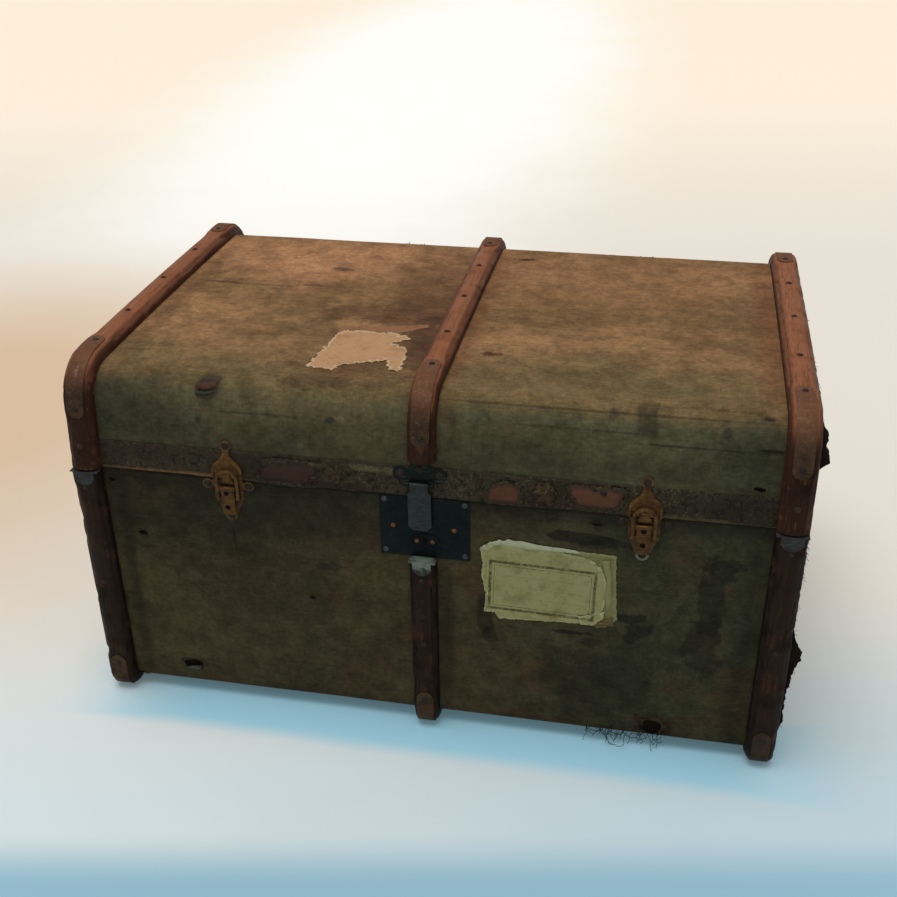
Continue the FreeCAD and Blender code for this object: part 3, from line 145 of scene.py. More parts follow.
# ---- Outlines: paths of straight runs and arcs in a plane ----
@dataclass
class Run:
    """A straight run or an arc of an outline.

    An arc has a centre and a radius and goes from one angle to another; a straight run
    goes from start to end.
    """

    start: Vector
    end: Vector
    centre: Vector | None = None
    radius: float = 0.0
    from_angle: float = 0.0
    to_angle: float = 0.0

    @classmethod
    def arc(cls, centre: Vector, radius: float, from_angle: float, to_angle: float) -> "Run":
        """An arc around a centre."""
        ends = [centre + radius * Vector((math.cos(a), math.sin(a))) for a in (from_angle, to_angle)]
        return cls(ends[0], ends[1], centre, radius, from_angle, to_angle)

    @property
    def length(self) -> float:
        """How long the run is."""
        if self.centre is None:
            return (self.end - self.start).length
        return self.radius * abs(self.to_angle - self.from_angle)

    def at(self, distance: float) -> tuple[Vector, Vector]:
        """A point of the run and the direction to its left, distance along it."""
        share = distance / max(self.length, 1e-9)
        if self.centre is None:
            ahead = (self.end - self.start).normalized()
            return self.start.lerp(self.end, share), Vector((-ahead.y, ahead.x))
        angle = self.from_angle + (self.to_angle - self.from_angle) * share
        out = Vector((math.cos(angle), math.sin(angle)))
        side = 1.0 if self.to_angle < self.from_angle else -1.0
        return self.centre + self.radius * out, side * out


@dataclass
class Outline:
    """Runs joined end to end. Its outer side is on the left of the way that it goes."""

    runs: list[Run]

    @property
    def length(self) -> float:
        """How long the whole outline is."""
        return sum(run.length for run in self.runs)

    def at(self, distance: float) -> tuple[Vector, Vector]:
        """A point of the outline and its outward direction, distance along it."""
        left = min(max(distance, 0.0), self.length)
        for run in self.runs[:-1]:
            if left <= run.length:
                return run.at(left)
            left -= run.length
        return self.runs[-1].at(left)

    @classmethod
    def around(cls, start: Vector, arcs: Sequence[Run], end: Vector) -> "Outline":
        """Straight runs from start to end, with arcs between them."""
        runs = []
        for arc in arcs:
            runs += [Run(start, arc.start), arc]
            start = arc.end
        return cls([*runs, Run(start, end)])

    @classmethod
    def trough(cls, left: float, right: float, low: float, top: float, turn: float) -> "Outline":
        """Down on the left, round a bend, along the bottom and up again on the right."""
        first = Run.arc(Vector((left + turn, low + turn)), turn, math.pi, 1.5 * math.pi)
        second = Run.arc(Vector((right - turn, low + turn)), turn, 1.5 * math.pi, TAU)
        return cls.around(Vector((left, top)), (first, second), Vector((right, top)))


@dataclass
class TrunkForm:
    """The trunk's outlines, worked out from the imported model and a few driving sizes."""

    lean: float = math.radians(6.3)
    lid_bend: float = 43 * MM
    crown_radius: float = 12.0
    bottom_bend: float = 9 * MM
    batten: float = 16 * MM
    band: float = 1.5 * MM
    canvas: float = 1 * MM
    end: float = field(init=False)
    front: float = field(init=False)
    bottom: float = field(init=False)
    case_top: float = field(init=False)
    lid_low: float = field(init=False)
    lid_top: float = field(init=False)
    parting: float = field(init=False)

    def __post_init__(self) -> None:
        """Read the boxes of the two canvas covers."""
        case_low, case_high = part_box("body_canvas")
        lid_low, lid_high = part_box("lid_canvas")
        self.end, self.front, self.bottom = case_high.x, case_low.y, case_low.z
        self.case_top, self.lid_low, self.lid_top = case_high.z, lid_low.z, lid_high.z
        self.parting = (self.case_top + self.lid_low) / 2

    def lid_face_y(self, z: float) -> float:
        """Y of the lid's leaning front at a height."""
        return self.front + (z - self.parting) * math.tan(self.lean)

    def bend_centre(self) -> Vector:
        """Middle, in Y and Z, of the bend between the lid's front and its crown."""
        crown = self.lid_top - self.crown_radius
        along = Vector((math.sin(self.lean), math.cos(self.lean)))
        base = Vector((self.front, self.parting - crown))
        base += self.lid_bend * Vector((math.cos(self.lean), -math.sin(self.lean)))
        reach = self.crown_radius - self.lid_bend
        half = base.dot(along)
        rise = -half + math.sqrt(half**2 - base.length_squared + reach**2)
        centre = base + along * rise
        return Vector((centre.x, centre.y + crown))

    def lid_outline(self) -> Outline:
        """The lid's canvas from its front lower edge over the top to its back lower edge."""
        bend = self.bend_centre()
        crown = Vector((0.0, self.lid_top - self.crown_radius))
        up = bend - crown
        turn = math.atan2(up.y, up.x)
        face = math.pi - self.lean
        front = Run.arc(bend, self.lid_bend, face, turn)
        back = Run.arc(Vector((-bend.x, bend.y)), self.lid_bend, math.pi - turn, self.lean)
        low = Vector((self.lid_face_y(self.lid_low), self.lid_low))
        over = Run.arc(crown, self.crown_radius, turn, math.pi - turn)
        last = Run(back.end, Vector((-low.x, low.y)))
        return Outline([Run(low, front.start), front, over, back, last])

    def case_outline(self) -> Outline:
        """The case's canvas from its back upper edge under the bottom to its front upper edge."""
        radius = self.bottom_bend
        side, low = -self.front, self.bottom
        back = Run.arc(Vector((side - radius, low + radius)), radius, 0.0, -math.pi / 2)
        front = Run.arc(Vector((radius - side, low + radius)), radius, 1.5 * math.pi, math.pi)
        return Outline.around(Vector((side, self.case_top)), (back, front), Vector((-side, self.case_top)))


def on_path(path: Outline, along: float, x: float, out: float) -> Vector:
    """A place at X = x, a distance along an outline of the YZ plane, raised from it by out."""
    spot, away = path.at(along)
    spot = spot + away * out
    return Vector((x, spot.x, spot.y))


def grid_over(
    name: str, steps: tuple[int, int], place: Callable[[float, float], Vector],
    stretch: tuple[float, float],
) -> bmesh.types.BMesh:
    """A grid laid over a surface.

    Args:
        name: name of the UV map that it gets.
        steps: faces along and across.
        place: gives the position for shares 0 to 1 along and across.
        stretch: real length of the two directions, for the UV map.

    Returns:
        The new bmesh, its faces outward when along x across points out.
    """
    bm = bmesh.new()
    bmesh.ops.create_grid(bm, x_segments=steps[0], y_segments=steps[1], size=0.5)
    layer = bm.loops.layers.uv.new(name)
    for face in bm.faces:
        for loop in face.loops:
            share = loop.vert.co
            loop[layer].uv = ((share.x + 0.5) * stretch[0], (share.y + 0.5) * stretch[1])
    for vert in bm.verts:
        vert.co = place(vert.co.x + 0.5, vert.co.y + 0.5)
    bm.normal_update()
    return bm


# ---- Shader graphs ----
class Graph:
    """Adds the nodes of one material or one node group and links them."""

    def __init__(self, tree: bpy.types.NodeTree) -> None:
        """Keep the tree that the nodes go in."""
        self.tree = tree

    def node(self, kind: str, **settings: object) -> bpy.types.Node:
        """Add a node and set its properties."""
        made = self.tree.nodes.new(kind)
        for key, value in settings.items():
            setattr(made, key, value)
        return made

    def put(self, socket: Socket, value: object) -> None:
        """Link a socket, or give it a plain value."""
        if isinstance(value, Socket):
            self.tree.links.new(value, socket)
        elif value is not None:
            socket.default_value = value

    def fed(self, made: bpy.types.Node, values: dict, output: int | str = 0) -> Socket:
        """Fill a node's inputs and give one of its outputs."""
        for key, value in values.items():
            self.put(made.inputs[key], value)
        return made.outputs[output]

    def math(self, operation: str, a: object, b: object = None) -> Socket:
        """A Math node's result."""
        return self.fed(self.node("ShaderNodeMath", operation=operation), {0: a, 1: b})

    def times(self, a: object, b: object) -> Socket:
        """The product of two values."""
        return self.math("MULTIPLY", a, b)

    def plus(self, a: object, b: object) -> Socket:
        """The sum of two values."""
        return self.math("ADD", a, b)

    def minus(self, a: object, b: object) -> Socket:
        """The first value less the second."""
        return self.math("SUBTRACT", a, b)

    def rest(self, a: object) -> Socket:
        """What a value leaves of 1."""
        return self.minus(1.0, a)

    def vector(self, operation: str, a: object, b: object = None) -> Socket:
        """A Vector Math node's result."""
        made = self.node("ShaderNodeVectorMath", operation=operation)
        return self.fed(made, {0: a, 1: b}, 1 if operation == "LENGTH" else 0)

    def noise(self, vector: Socket, scale: object, detail: float = 4.0, grit: float = 0.55) -> Socket:
        """Value of a noise texture."""
        values = {"Vector": vector, "Scale": scale, "Detail": detail, "Roughness": grit}
        return self.fed(self.node("ShaderNodeTexNoise"), values, "Fac")

    def ramp(self, value: object, low: object, high: object, top: object = 1.0) -> Socket:
        """Smooth rise from 0 at low to top at high."""
        made = self.node("ShaderNodeMapRange", interpolation_type="SMOOTHSTEP")
        return self.fed(made, {"Value": value, "From Min": low, "From Max": high, "To Max": top}, "Result")

    def between(self, value: Socket, low: float, high: float) -> Socket:
        """The value stretched from 0 to 1 onto low to high."""
        made = self.node("ShaderNodeMapRange")
        return self.fed(made, {"Value": value, "To Min": low, "To Max": high}, "Result")

    def mix(self, amount: object, under: object, over: object, mode: str = "MIX") -> Socket:
        """Lay one colour over another."""
        made = self.node("ShaderNodeMix", data_type="RGBA", blend_type=mode)
        return self.fed(made, {"Factor": amount, "A": under, "B": over}, "Result")

    def blend(self, amount: object, a: object, b: object) -> Socket:
        """A value between two values."""
        return self.fed(self.node("ShaderNodeMix", data_type="FLOAT"), {0: amount, 2: a, 3: b})

    def lay(self, under: object, colour: Rgb, amount: Socket, share: float | None = None) -> Socket:
        """Lay a plain colour over another, by a mask or a share of it."""
        return self.mix(amount if share is None else self.times(amount, share), under, shade(*colour))

    def tinted(self, colour: Socket, level: Socket, amount: float) -> Socket:
        """Make a colour lighter and darker with a value around 0.5."""
        grey = self.between(level, 1.0 - amount, 1.0 + amount)
        return self.mix(1.0, colour, self.joined(grey, grey, grey), "MULTIPLY")

    def parts(self, vector: Socket) -> tuple[Socket, Socket, Socket]:
        """X, Y and Z of a vector."""
        made = self.node("ShaderNodeSeparateXYZ")
        self.put(made.inputs[0], vector)
        return tuple(made.outputs)

    def joined(self, x: object = 0.0, y: object = 0.0, z: object = 0.0) -> Socket:
        """A vector from its three parts."""
        return self.fed(self.node("ShaderNodeCombineXYZ"), {0: x, 1: y, 2: z})

    def place(self) -> Socket:
        """Object coordinates, in metres."""
        return self.node("ShaderNodeTexCoord").outputs["Object"]

    def facing(self) -> Socket:
        """The surface's own direction on the object."""
        return self.node("ShaderNodeTexCoord").outputs["Normal"]


class Effect(Enum):
    """The node groups that several materials share."""

    WEAVE = "canvas_weave"
    BLOTCH = "blotches"
    GRAIN = "wood_grain"
    SPOT = "ragged_spot"
    SCRATCH = "fine_scratches"


INPUT_KINDS = {float: "NodeSocketFloat", tuple: "NodeSocketVector"}


class Effects:
    """Builds each shared node group once and places it in materials."""

    built: dict[Effect, bpy.types.NodeTree] = {}

    @classmethod
    def use(cls, graph: Graph, effect: Effect, **values: object) -> dict[str, Socket]:
        """Place a group in a graph.

        Args:
            graph: where it goes.
            effect: which group.
            values: its inputs by name.

        Returns:
            Its outputs by name.
        """
        if effect not in cls.built:
            cls.built[effect] = getattr(cls, effect.name.lower())()
        made = graph.node("ShaderNodeGroup", node_tree=cls.built[effect])
        for name, value in values.items():
            graph.put(made.inputs[name.replace("_", " ")], value)
        return {socket.name: socket for socket in made.outputs}

    @staticmethod
    def begin(effect: Effect, outputs: Sequence[str], **inputs: object) -> tuple[Graph, dict, dict]:
        """Start a group with named sockets.

        Args:
            effect: which group.
            outputs: names of its value outputs.
            inputs: default value of each input by name; each group also gets a Vector.

        Returns:
            The graph, its inputs by name and the sockets to end in by name.
        """
        tree = bpy.data.node_groups.new(effect.value, "ShaderNodeTree")
        for name, value in {"Vector": (0.0, 0.0, 0.0), **inputs}.items():
            kind = INPUT_KINDS[type(value)]
            made = tree.interface.new_socket(name=name, in_out="INPUT", socket_type=kind)
            made.default_value = value
        for name in outputs:
            tree.interface.new_socket(name=name, in_out="OUTPUT", socket_type="NodeSocketFloat")
        graph = Graph(tree)
        start, end = graph.node("NodeGroupInput"), graph.node("NodeGroupOutput")
        return graph, {s.name: s for s in start.outputs}, {s.name: s for s in end.inputs}

    @classmethod
    def weave(cls) -> bpy.types.NodeTree:
        """Plain weave: two sets of threads that pass over and under each other."""
        g, given, out = cls.begin(Effect.WEAVE, ("Height", "Shade"), Pitch=1.1 * MM, Slub=0.5)
        scaled = g.vector("DIVIDE", given["Vector"], g.joined(given["Pitch"], given["Pitch"], 1.0))
        u, v, _ = g.parts(scaled)
        turn_u, turn_v = g.times(u, math.pi), g.times(v, math.pi)
        wave_u, wave_v = g.math("SINE", turn_u), g.math("SINE", turn_v)
        over = g.ramp(g.times(wave_u, wave_v), -0.3, 0.3)
        warp, weft = g.math("ABSOLUTE", wave_u), g.math("ABSOLUTE", wave_v)
        thread = g.blend(over, warp, weft)
        long_u = g.noise(g.vector("MULTIPLY", given["Vector"], (25, 700, 0)), 1.0, 3)
        long_v = g.noise(g.vector("MULTIPLY", given["Vector"], (700, 25, 0)), 1.0, 3)
        streak = g.minus(g.plus(long_u, long_v), 1.0)
        g.put(out["Height"], thread)
        lit = g.times(g.minus(thread, 0.5), 0.35)
        g.put(out["Shade"], g.plus(lit, g.times(streak, given["Slub"])))
        return g.tree

    @classmethod
    def blotch(cls) -> bpy.types.NodeTree:
        """Uneven patches: a soft noise cut between two levels."""
        g, given, out = cls.begin(Effect.BLOTCH, ("Mask",), Scale=10.0, Low=0.5, High=0.65, Shift=0.0)
        moved = g.vector("ADD", given["Vector"], g.joined(given["Shift"], given["Shift"], given["Shift"]))
        value = g.noise(moved, given["Scale"], 6.0, 0.6)
        g.put(out["Mask"], g.ramp(value, given["Low"], given["High"]))
        return g.tree

    @classmethod
    def grain(cls) -> bpy.types.NodeTree:
        """Long wood fibres that run across X, with pores."""
        g, given, out = cls.begin(Effect.GRAIN, ("Shade", "Pores"), Shift=0.0)
        x, y, z = g.parts(given["Vector"])
        moved = g.joined(g.plus(x, given["Shift"]), y, z)
        band, fine = g.vector("MULTIPLY", moved, (260, 9, 9)), g.vector("MULTIPLY", moved, (1400, 45, 45))
        g.put(out["Shade"], g.noise(band, 1.0, 5.0, 0.6))
        g.put(out["Pores"], g.ramp(g.noise(fine, 1.0, 2.0), 0.56, 0.7))
        return g.tree

    @classmethod
    def spot(cls) -> bpy.types.NodeTree:
        """One patch around a centre, with a ragged edge."""
        at, unit = (0.0, 0.0, 0.0), (0.1, 0.1, 0.1)
        look = {"Soft": 0.2, "Ragged": 0.4, "Scale": 60.0, "Square": 0.0}
        g, given, out = cls.begin(Effect.SPOT, ("Mask",), Centre=at, Reach=unit, **look)
        away = g.vector("DIVIDE", g.vector("SUBTRACT", given["Vector"], given["Centre"]), given["Reach"])
        sides = g.parts(g.vector("ABSOLUTE", away))
        boxed = g.math("MAXIMUM", g.math("MAXIMUM", sides[0], sides[1]), sides[2])
        shape = g.blend(given["Square"], g.vector("LENGTH", away), boxed)
        tear = g.minus(g.noise(given["Vector"], given["Scale"], 6.0, 0.65), 0.5)
        tear = g.times(tear, g.times(given["Ragged"], 4.5))
        low, high = g.rest(given["Soft"]), g.plus(1.0, given["Soft"])
        g.put(out["Mask"], g.rest(g.ramp(g.plus(shape, tear), low, high)))
        return g.tree

    @classmethod
    def scratch(cls) -> bpy.types.NodeTree:
        """Thin long marks along one axis of the vector that comes in."""
        g, given, out = cls.begin(Effect.SCRATCH, ("Mask",), Long=12.0, Thin=420.0, Low=0.66, High=0.74)
        along = g.joined(given["Long"], given["Thin"], given["Thin"])
        stretched = g.vector("MULTIPLY", given["Vector"], along)
        g.put(out["Mask"], g.ramp(g.noise(stretched, 1.0, 2.0, 0.5), given["Low"], given["High"]))
        return g.tree


def mask(g: Graph, effect: Effect, place: Socket, **values: object) -> Socket:
    """The mask that an effect gives."""
    return Effects.use(g, effect, Vector=place, **values)["Mask"]


def blotch(g: Graph, place: Socket, scale: float, low: float, high: float, shift: float = 0.0) -> Socket:
    """Mask of uneven patches."""
    return mask(g, Effect.BLOTCH, place, Scale=scale, Low=low, High=high, Shift=shift)


# ---- Finishes ----
@dataclass(frozen=True)
class Spot:
    """A ragged patch of another colour, its centre and reach in millimetres."""

    centre: Place
    reach: Place
    colour: Rgb
    strength: float = 0.8
    soft: float = 0.2
    ragged: float = 0.4
    scale: float = 60.0
    square: float = 0.0

    def lay(self, g: Graph, place: Socket, under: object) -> Socket:
        """Lay the patch over a colour."""
        centre, reach = ([part * MM for part in parts] for parts in (self.centre, self.reach))
        look = {"Soft": self.soft, "Ragged": self.ragged, "Scale": self.scale, "Square": self.square}
        shown = mask(g, Effect.SPOT, place, Centre=centre, Reach=reach, **look)
        return g.lay(under, self.colour, shown, self.strength)


@dataclass
class Coat:
    """What a finish gives its shader, the relief's depth in millimetres."""

    colour: Socket
    roughness: object
    specular: float
    height: Socket
    depth: float
    metallic: object = None


MATERIALS: dict[str, bpy.types.Material] = {}


@dataclass(frozen=True)
class Finish:
    """A look and its material, which is built once."""

    name: str

    def material(self) -> bpy.types.Material:
        """The finish's material, built the first time that it is asked for."""
        if self.name not in MATERIALS:
            made = bpy.data.materials.new(self.name)
            made.use_nodes = True
            g, shader = Graph(made.node_tree), made.node_tree.nodes["Principled BSDF"]
            coat = self.coat(g, g.place())
            bump = g.node("ShaderNodeBump")
            bump.inputs["Strength"].default_value = 1.0
            bump.inputs["Distance"].default_value = coat.depth * MM
            g.put(bump.inputs["Height"], coat.height)
            for name, value in (
                ("Base Color", coat.colour), ("Roughness", coat.roughness), ("Metallic", coat.metallic),
                ("Specular IOR Level", coat.specular), ("Normal", bump.outputs["Normal"]),
            ):
                g.put(shader.inputs[name], value)
            MATERIALS[self.name] = made
        return MATERIALS[self.name]

    def coat(self, g: Graph, place: Socket) -> Coat:
        """Colour, roughness and relief, from a graph and Object coordinates."""
        raise NotImplementedError


@dataclass(frozen=True)
class CanvasFinish(Finish):
    """Painted canvas: bleached where it faces up, dark and green on its upright faces; the lighter top is
    partly painted light and the darker sides partly painted shade.
    """

    side: Rgb
    side_light: Rgb
    side_dark: Rgb
    top: Rgb = (128, 97, 62)
    top_light: Rgb = (166, 122, 84)
    top_dark: Rgb = (92, 70, 45)
    top_front: Rgb = (106, 90, 58)
    side_right: Rgb = (52, 56, 40)
    side_brown: Rgb = (68, 51, 33)
    spots: tuple[Spot, ...] = ()
    shift: float = 0.0

    def coat(self, g: Graph, place: Socket) -> Coat:
        """Its two sides, then what lies over both."""
        weave = Effects.use(g, Effect.WEAVE, Vector=g.node("ShaderNodeUVMap", uv_map="cloth").outputs[0])
        drawn = g.vector("MULTIPLY", place, (0.4, 1.0, 1.0))
        broad = blotch(g, drawn, 5.5, 0.36, 0.7, self.shift)
        middle = blotch(g, drawn, 19.0, 0.46, 0.76, self.shift)
        side = g.lay(shade(*self.side), self.side_light, broad)
        side = g.lay(side, self.side_right, g.ramp(g.parts(place)[0], -0.05, 0.3, 0.8))
        side = g.lay(side, self.side_dark, middle, 0.6)
        side = g.lay(side, self.side_brown, blotch(g, place, 12.0, 0.46, 0.64, self.shift + 9.0), 0.6)
        depth = g.ramp(g.parts(place)[1], -0.27, 0.08)
        top = g.lay(shade(*self.top_front), self.top, depth)
        top = g.lay(top, self.top_light, g.times(broad, g.between(depth, 0.45, 1.0)))
        top = g.lay(top, self.top_dark, middle, 0.5)
        # Mix by facing: the top is lighter partly as painted light, and the upright faces darker partly as
        # painted shade.
        colour = g.mix(g.ramp(g.parts(g.facing())[2], 0.55, 0.997), side, top)
        colour = g.lay(colour, self.side_dark, blotch(g, place, 55.0, 0.5, 0.75, self.shift), 0.35)
        scratch = mask(g, Effect.SCRATCH, place, Long=9.0, Thin=230.0, Low=0.62, High=0.72)
        colour = g.lay(colour, self.side_dark, scratch, 0.45)
        for spot in self.spots:
            colour = spot.lay(g, place, colour)
        colour = g.tinted(colour, g.ramp(g.noise(place, 34.0, 5.0, 0.7), 0.32, 0.68), 0.24)
        fine = g.noise(g.vector("MULTIPLY", place, (0.6, 1.0, 1.0)), 210.0, 5.0, 0.75)
        colour = g.tinted(colour, g.ramp(fine, 0.3, 0.7), 0.24)
        colour = g.lay(colour, self.side_dark, blotch(g, drawn, 120.0, 0.64, 0.72, self.shift), 0.5)
        colour = g.tinted(colour, g.plus(0.5, weave["Shade"]), 0.42)
        height = g.plus(weave["Height"], g.times(g.noise(place, 45.0, 5.0), 2.2))
        return Coat(colour, g.between(middle, 0.72, 0.9), 0.08, height, 0.35)


@dataclass(frozen=True)
class WoodFinish(Finish):
    """Bentwood: grain along the batten, dirt, scraped patches, edges darkened as painted shade and, where
    set, an upper part lightened as painted light.
    """

    base: Rgb
    dark: Rgb
    raw: Rgb
    # upper: where set, a lighter colour over the top from upper_from to upper_to, painted light.
    upper: Rgb | None = None
    upper_from: float = 460.0
    upper_to: float = 503.0
    # The flank colour darkens faces turned sideways: painted shade.
    shaded_flank: Rgb | None = None
    scraped: float = 0.3
    gloss: float = 0.45
    shift: float = 0.0

    def coat(self, g: Graph, place: Socket) -> Coat:
        """Dirt, less of it on the upper part that is painted lighter as painted light; flanks darkened as
        painted shade; scrapes and pores.
        """
        grain = Effects.use(g, Effect.GRAIN, Vector=place, Shift=self.shift)
        dirt = blotch(g, place, 26.0, 0.45, 0.72, self.shift)
        worn = blotch(g, place, 34.0, 0.54, 0.62, self.shift + 7.0)
        colour: object = shade(*self.base)
        soiled = g.times(dirt, 0.7)
        # Painted light: the upper part is lighter and carries less dirt.
        if self.upper is not None:
            lift = g.ramp(g.parts(place)[2], self.upper_from * MM, self.upper_to * MM)
            colour = g.lay(colour, self.upper, lift)
            soiled = g.times(soiled, g.between(lift, 1.0, 0.3))
        colour = g.lay(colour, self.dark, soiled)
        # Painted shade: faces turned sideways are darker.
        if self.shaded_flank is not None:
            turned = g.math("ABSOLUTE", g.parts(g.facing())[0])
            colour = g.lay(colour, self.shaded_flank, g.ramp(turned, 0.35, 0.95, 0.85))
        scrape = g.times(worn, g.ramp(grain["Shade"], 0.4, 0.56, self.scraped))
        colour = g.tinted(g.lay(colour, self.raw, scrape), grain["Shade"], 0.35)
        colour = g.lay(colour, self.dark, grain["Pores"], 0.4)
        colour = g.lay(colour, self.raw, blotch(g, place, 240.0, 0.66, 0.72, self.shift), 0.4)
        height = g.minus(g.times(grain["Shade"], 1.2), grain["Pores"])
        height = g.minus(height, g.times(scrape, 1.5))
        return Coat(colour, g.between(dirt, self.gloss, self.gloss + 0.3), 0.06, height, 0.35)


@dataclass(frozen=True)
class MetalFinish(Finish):
    """Old metal: a base, rust or dirt over it, bright scratches and, where set, an upper part lightened as
    painted light.
    """

    base: Rgb
    rust: Rgb
    bright: Rgb
    rusted: float = 0.7
    scratched: float = 0.4
    metallic: float = 0.6
    gloss: float = 0.42
    scale: float = 70.0
    # upper: where set, a lighter colour over the top, painted light.
    upper: Rgb | None = None
    spots: tuple[Spot, ...] = ()

    def coat(self, g: Graph, place: Socket) -> Coat:
        """Rust, scratches and spots; the rust is rough and no longer metal."""
        covered = g.times(blotch(g, place, self.scale, 0.42, 0.66), self.rusted)
        lines = mask(g, Effect.SCRATCH, place, Long=60.0, Thin=900.0, Low=0.6, High=0.7)
        colour = g.lay(shade(*self.base), self.rust, covered)
        # Painted light: the upper part, where the lid's top is lit, is lighter.
        if self.upper is not None:
            colour = g.lay(colour, self.upper, g.ramp(g.parts(place)[2], 0.455, 0.505, 0.8))
        colour = g.lay(colour, self.bright, lines, self.scratched)
        colour = g.tinted(colour, blotch(g, place, self.scale * 4, 0.5, 0.7, 3.0), 0.22)
        for spot in self.spots:
            colour = spot.lay(g, place, colour)
        dull = g.between(covered, self.gloss, min(self.gloss + 0.35, 0.95))
        pits = g.plus(g.times(covered, 0.6), g.noise(place, self.scale * 9, 3.0))
        return Coat(colour, dull, 0.12, pits, 0.14, g.times(g.rest(covered), self.metallic))


@dataclass(frozen=True)
class BandFinish(Finish):
    """Cracked fibre band, dark and mottled."""

    base: Rgb = (48, 43, 32)
    flake: Rgb = (82, 77, 56)
    crack: Rgb = (22, 18, 13)
    spots: tuple[Spot, ...] = ()

    def coat(self, g: Graph, place: Socket) -> Coat:
        """Flakes in broad patches, and cracks."""
        broad = blotch(g, place, 14.0, 0.42, 0.62, 2.0)
        flakes = blotch(g, place, 260.0, 0.46, 0.66)
        cracks = blotch(g, place, 150.0, 0.52, 0.64, 5.0)
        shown = g.times(flakes, g.between(broad, 0.25, 0.95))
        colour = g.lay(g.lay(shade(*self.base), self.flake, shown), self.crack, cracks, 0.8)
        for spot in self.spots:
            colour = spot.lay(g, place, colour)
        colour = g.tinted(colour, g.ramp(g.noise(place, 420.0, 4.0, 0.7), 0.3, 0.7), 0.35)
        return Coat(colour, g.between(flakes, 0.62, 0.85), 0.1, g.minus(flakes, cracks), 0.3)


@dataclass(frozen=True)
class ClothFinish(Finish):
    """Plain cloth or torn lining: a weave in Object coordinates, for pieces with no map."""

    base: Rgb
    dark: Rgb
    axes: tuple[int, int] = (0, 2)
    pitch: float = 1.2 * MM

    def coat(self, g: Graph, place: Socket) -> Coat:
        """A stained weave."""
        parts = g.parts(place)
        flat = g.joined(parts[self.axes[0]], parts[self.axes[1]])
        weave = Effects.use(g, Effect.WEAVE, Vector=flat, Pitch=self.pitch)
        colour = g.lay(shade(*self.base), self.dark, blotch(g, place, 11.0, 0.45, 0.75), 0.8)
        colour = g.tinted(colour, g.plus(0.5, weave["Shade"]), 0.4)
        return Coat(colour, 0.9, 0.05, weave["Height"], 0.3)


@dataclass(frozen=True)
class PaperFinish(Finish):
    """Old paper: fibres, foxing and, on the label, a plain printed frame."""

    base: Rgb
    stain: Rgb
    ink: Rgb = (60, 57, 36)
    frame_middle: tuple[float, float] | None = None
    frame_half: tuple[float, float] = (64.0, 34.0)
    frame_turn: float = 0.0
    torn: Rgb = (214, 192, 158)
    torn_share: float = 0.6

    def border(self, g: Graph, place: Socket) -> Socket:
        """Mask of two thin frame lines and three faint ruled lines inside them."""
        x, _, z = g.parts(place)
        dx, dz = g.minus(x, self.frame_middle[0] * MM), g.minus(z, self.frame_middle[1] * MM)
        cos, sin = math.cos(self.frame_turn), math.sin(self.frame_turn)
        along = g.plus(g.times(dx, cos), g.times(dz, sin))
        up = g.minus(g.times(dz, cos), g.times(dx, sin))
        side = g.minus(g.math("ABSOLUTE", along), self.frame_half[0] * MM)
        rise = g.minus(g.math("ABSOLUTE", up), self.frame_half[1] * MM)
        edge = g.math("MAXIMUM", side, rise)
        lines: Socket | None = None
        for inset, width in ((0.0, 2.5), (5.0, 0.5)):
            off = g.math("ABSOLUTE", g.plus(edge, inset * MM))
            one = g.rest(g.ramp(off, width * MM * 0.5, width * MM))
            lines = one if lines is None else g.math("MAXIMUM", lines, one)
        inside = g.math("LESS_THAN", edge, -8 * MM)
        for level in (-16.0, 0.0, 16.0):
            off = g.math("ABSOLUTE", g.minus(up, level * MM))
            rule = g.times(g.rest(g.ramp(off, 0.2 * MM, 0.5 * MM)), g.times(inside, 0.45))
            lines = g.math("MAXIMUM", lines, rule)
        worn = g.ramp(g.noise(place, 260.0, 5.0, 0.7), 0.36, 0.6)
        return g.times(lines, g.between(worn, 0.35, 0.95))

    def coat(self, g: Graph, place: Socket) -> Coat:
        """Foxing, the frame and a torn rim."""
        fox = blotch(g, place, 38.0, 0.45, 0.75)
        fine = g.noise(place, 700.0, 4.0)
        colour = g.lay(shade(*self.base), self.stain, fox, 0.75)
        colour = g.lay(colour, self.stain, blotch(g, place, 110.0, 0.52, 0.66, 3.0), 0.4)
        colour = g.tinted(colour, fine, 0.22)
        if self.frame_middle is not None:
            colour = g.lay(colour, self.ink, self.border(g, place))
        torn = g.node("ShaderNodeAttribute", attribute_name="rim").outputs["Fac"]
        colour = g.lay(colour, self.torn, g.ramp(torn, 0.35, 0.9, self.torn_share))
        height = g.plus(fine, g.noise(place, 60.0, 3.0))
        return Coat(colour, g.between(fox, 0.7, 0.88), 0.15, height, 0.2)


@dataclass(frozen=True)
class LeatherFinish(Finish):
    """Old leather: small creased cells, rubbed lighter on the grip."""

    base: Rgb = (66, 41, 27)
    rubbed: Rgb = (112, 76, 50)
    crease: Rgb = (28, 17, 12)

    def coat(self, g: Graph, place: Socket) -> Coat:
        """Cells, and rubbed patches."""
        cells = g.node("ShaderNodeTexVoronoi", feature="DISTANCE_TO_EDGE")
        g.put(cells.inputs["Vector"], place)
        cells.inputs["Scale"].default_value = 620.0
        grain = g.ramp(cells.outputs["Distance"], 0.0, 0.16)
        rubbed = blotch(g, place, 60.0, 0.48, 0.66)
        colour = g.lay(shade(*self.base), self.rubbed, rubbed, 0.7)
        colour = g.lay(colour, self.crease, g.rest(grain), 0.7)
        return Coat(colour, g.between(rubbed, 0.65, 0.5), 0.2, grain, 0.2)


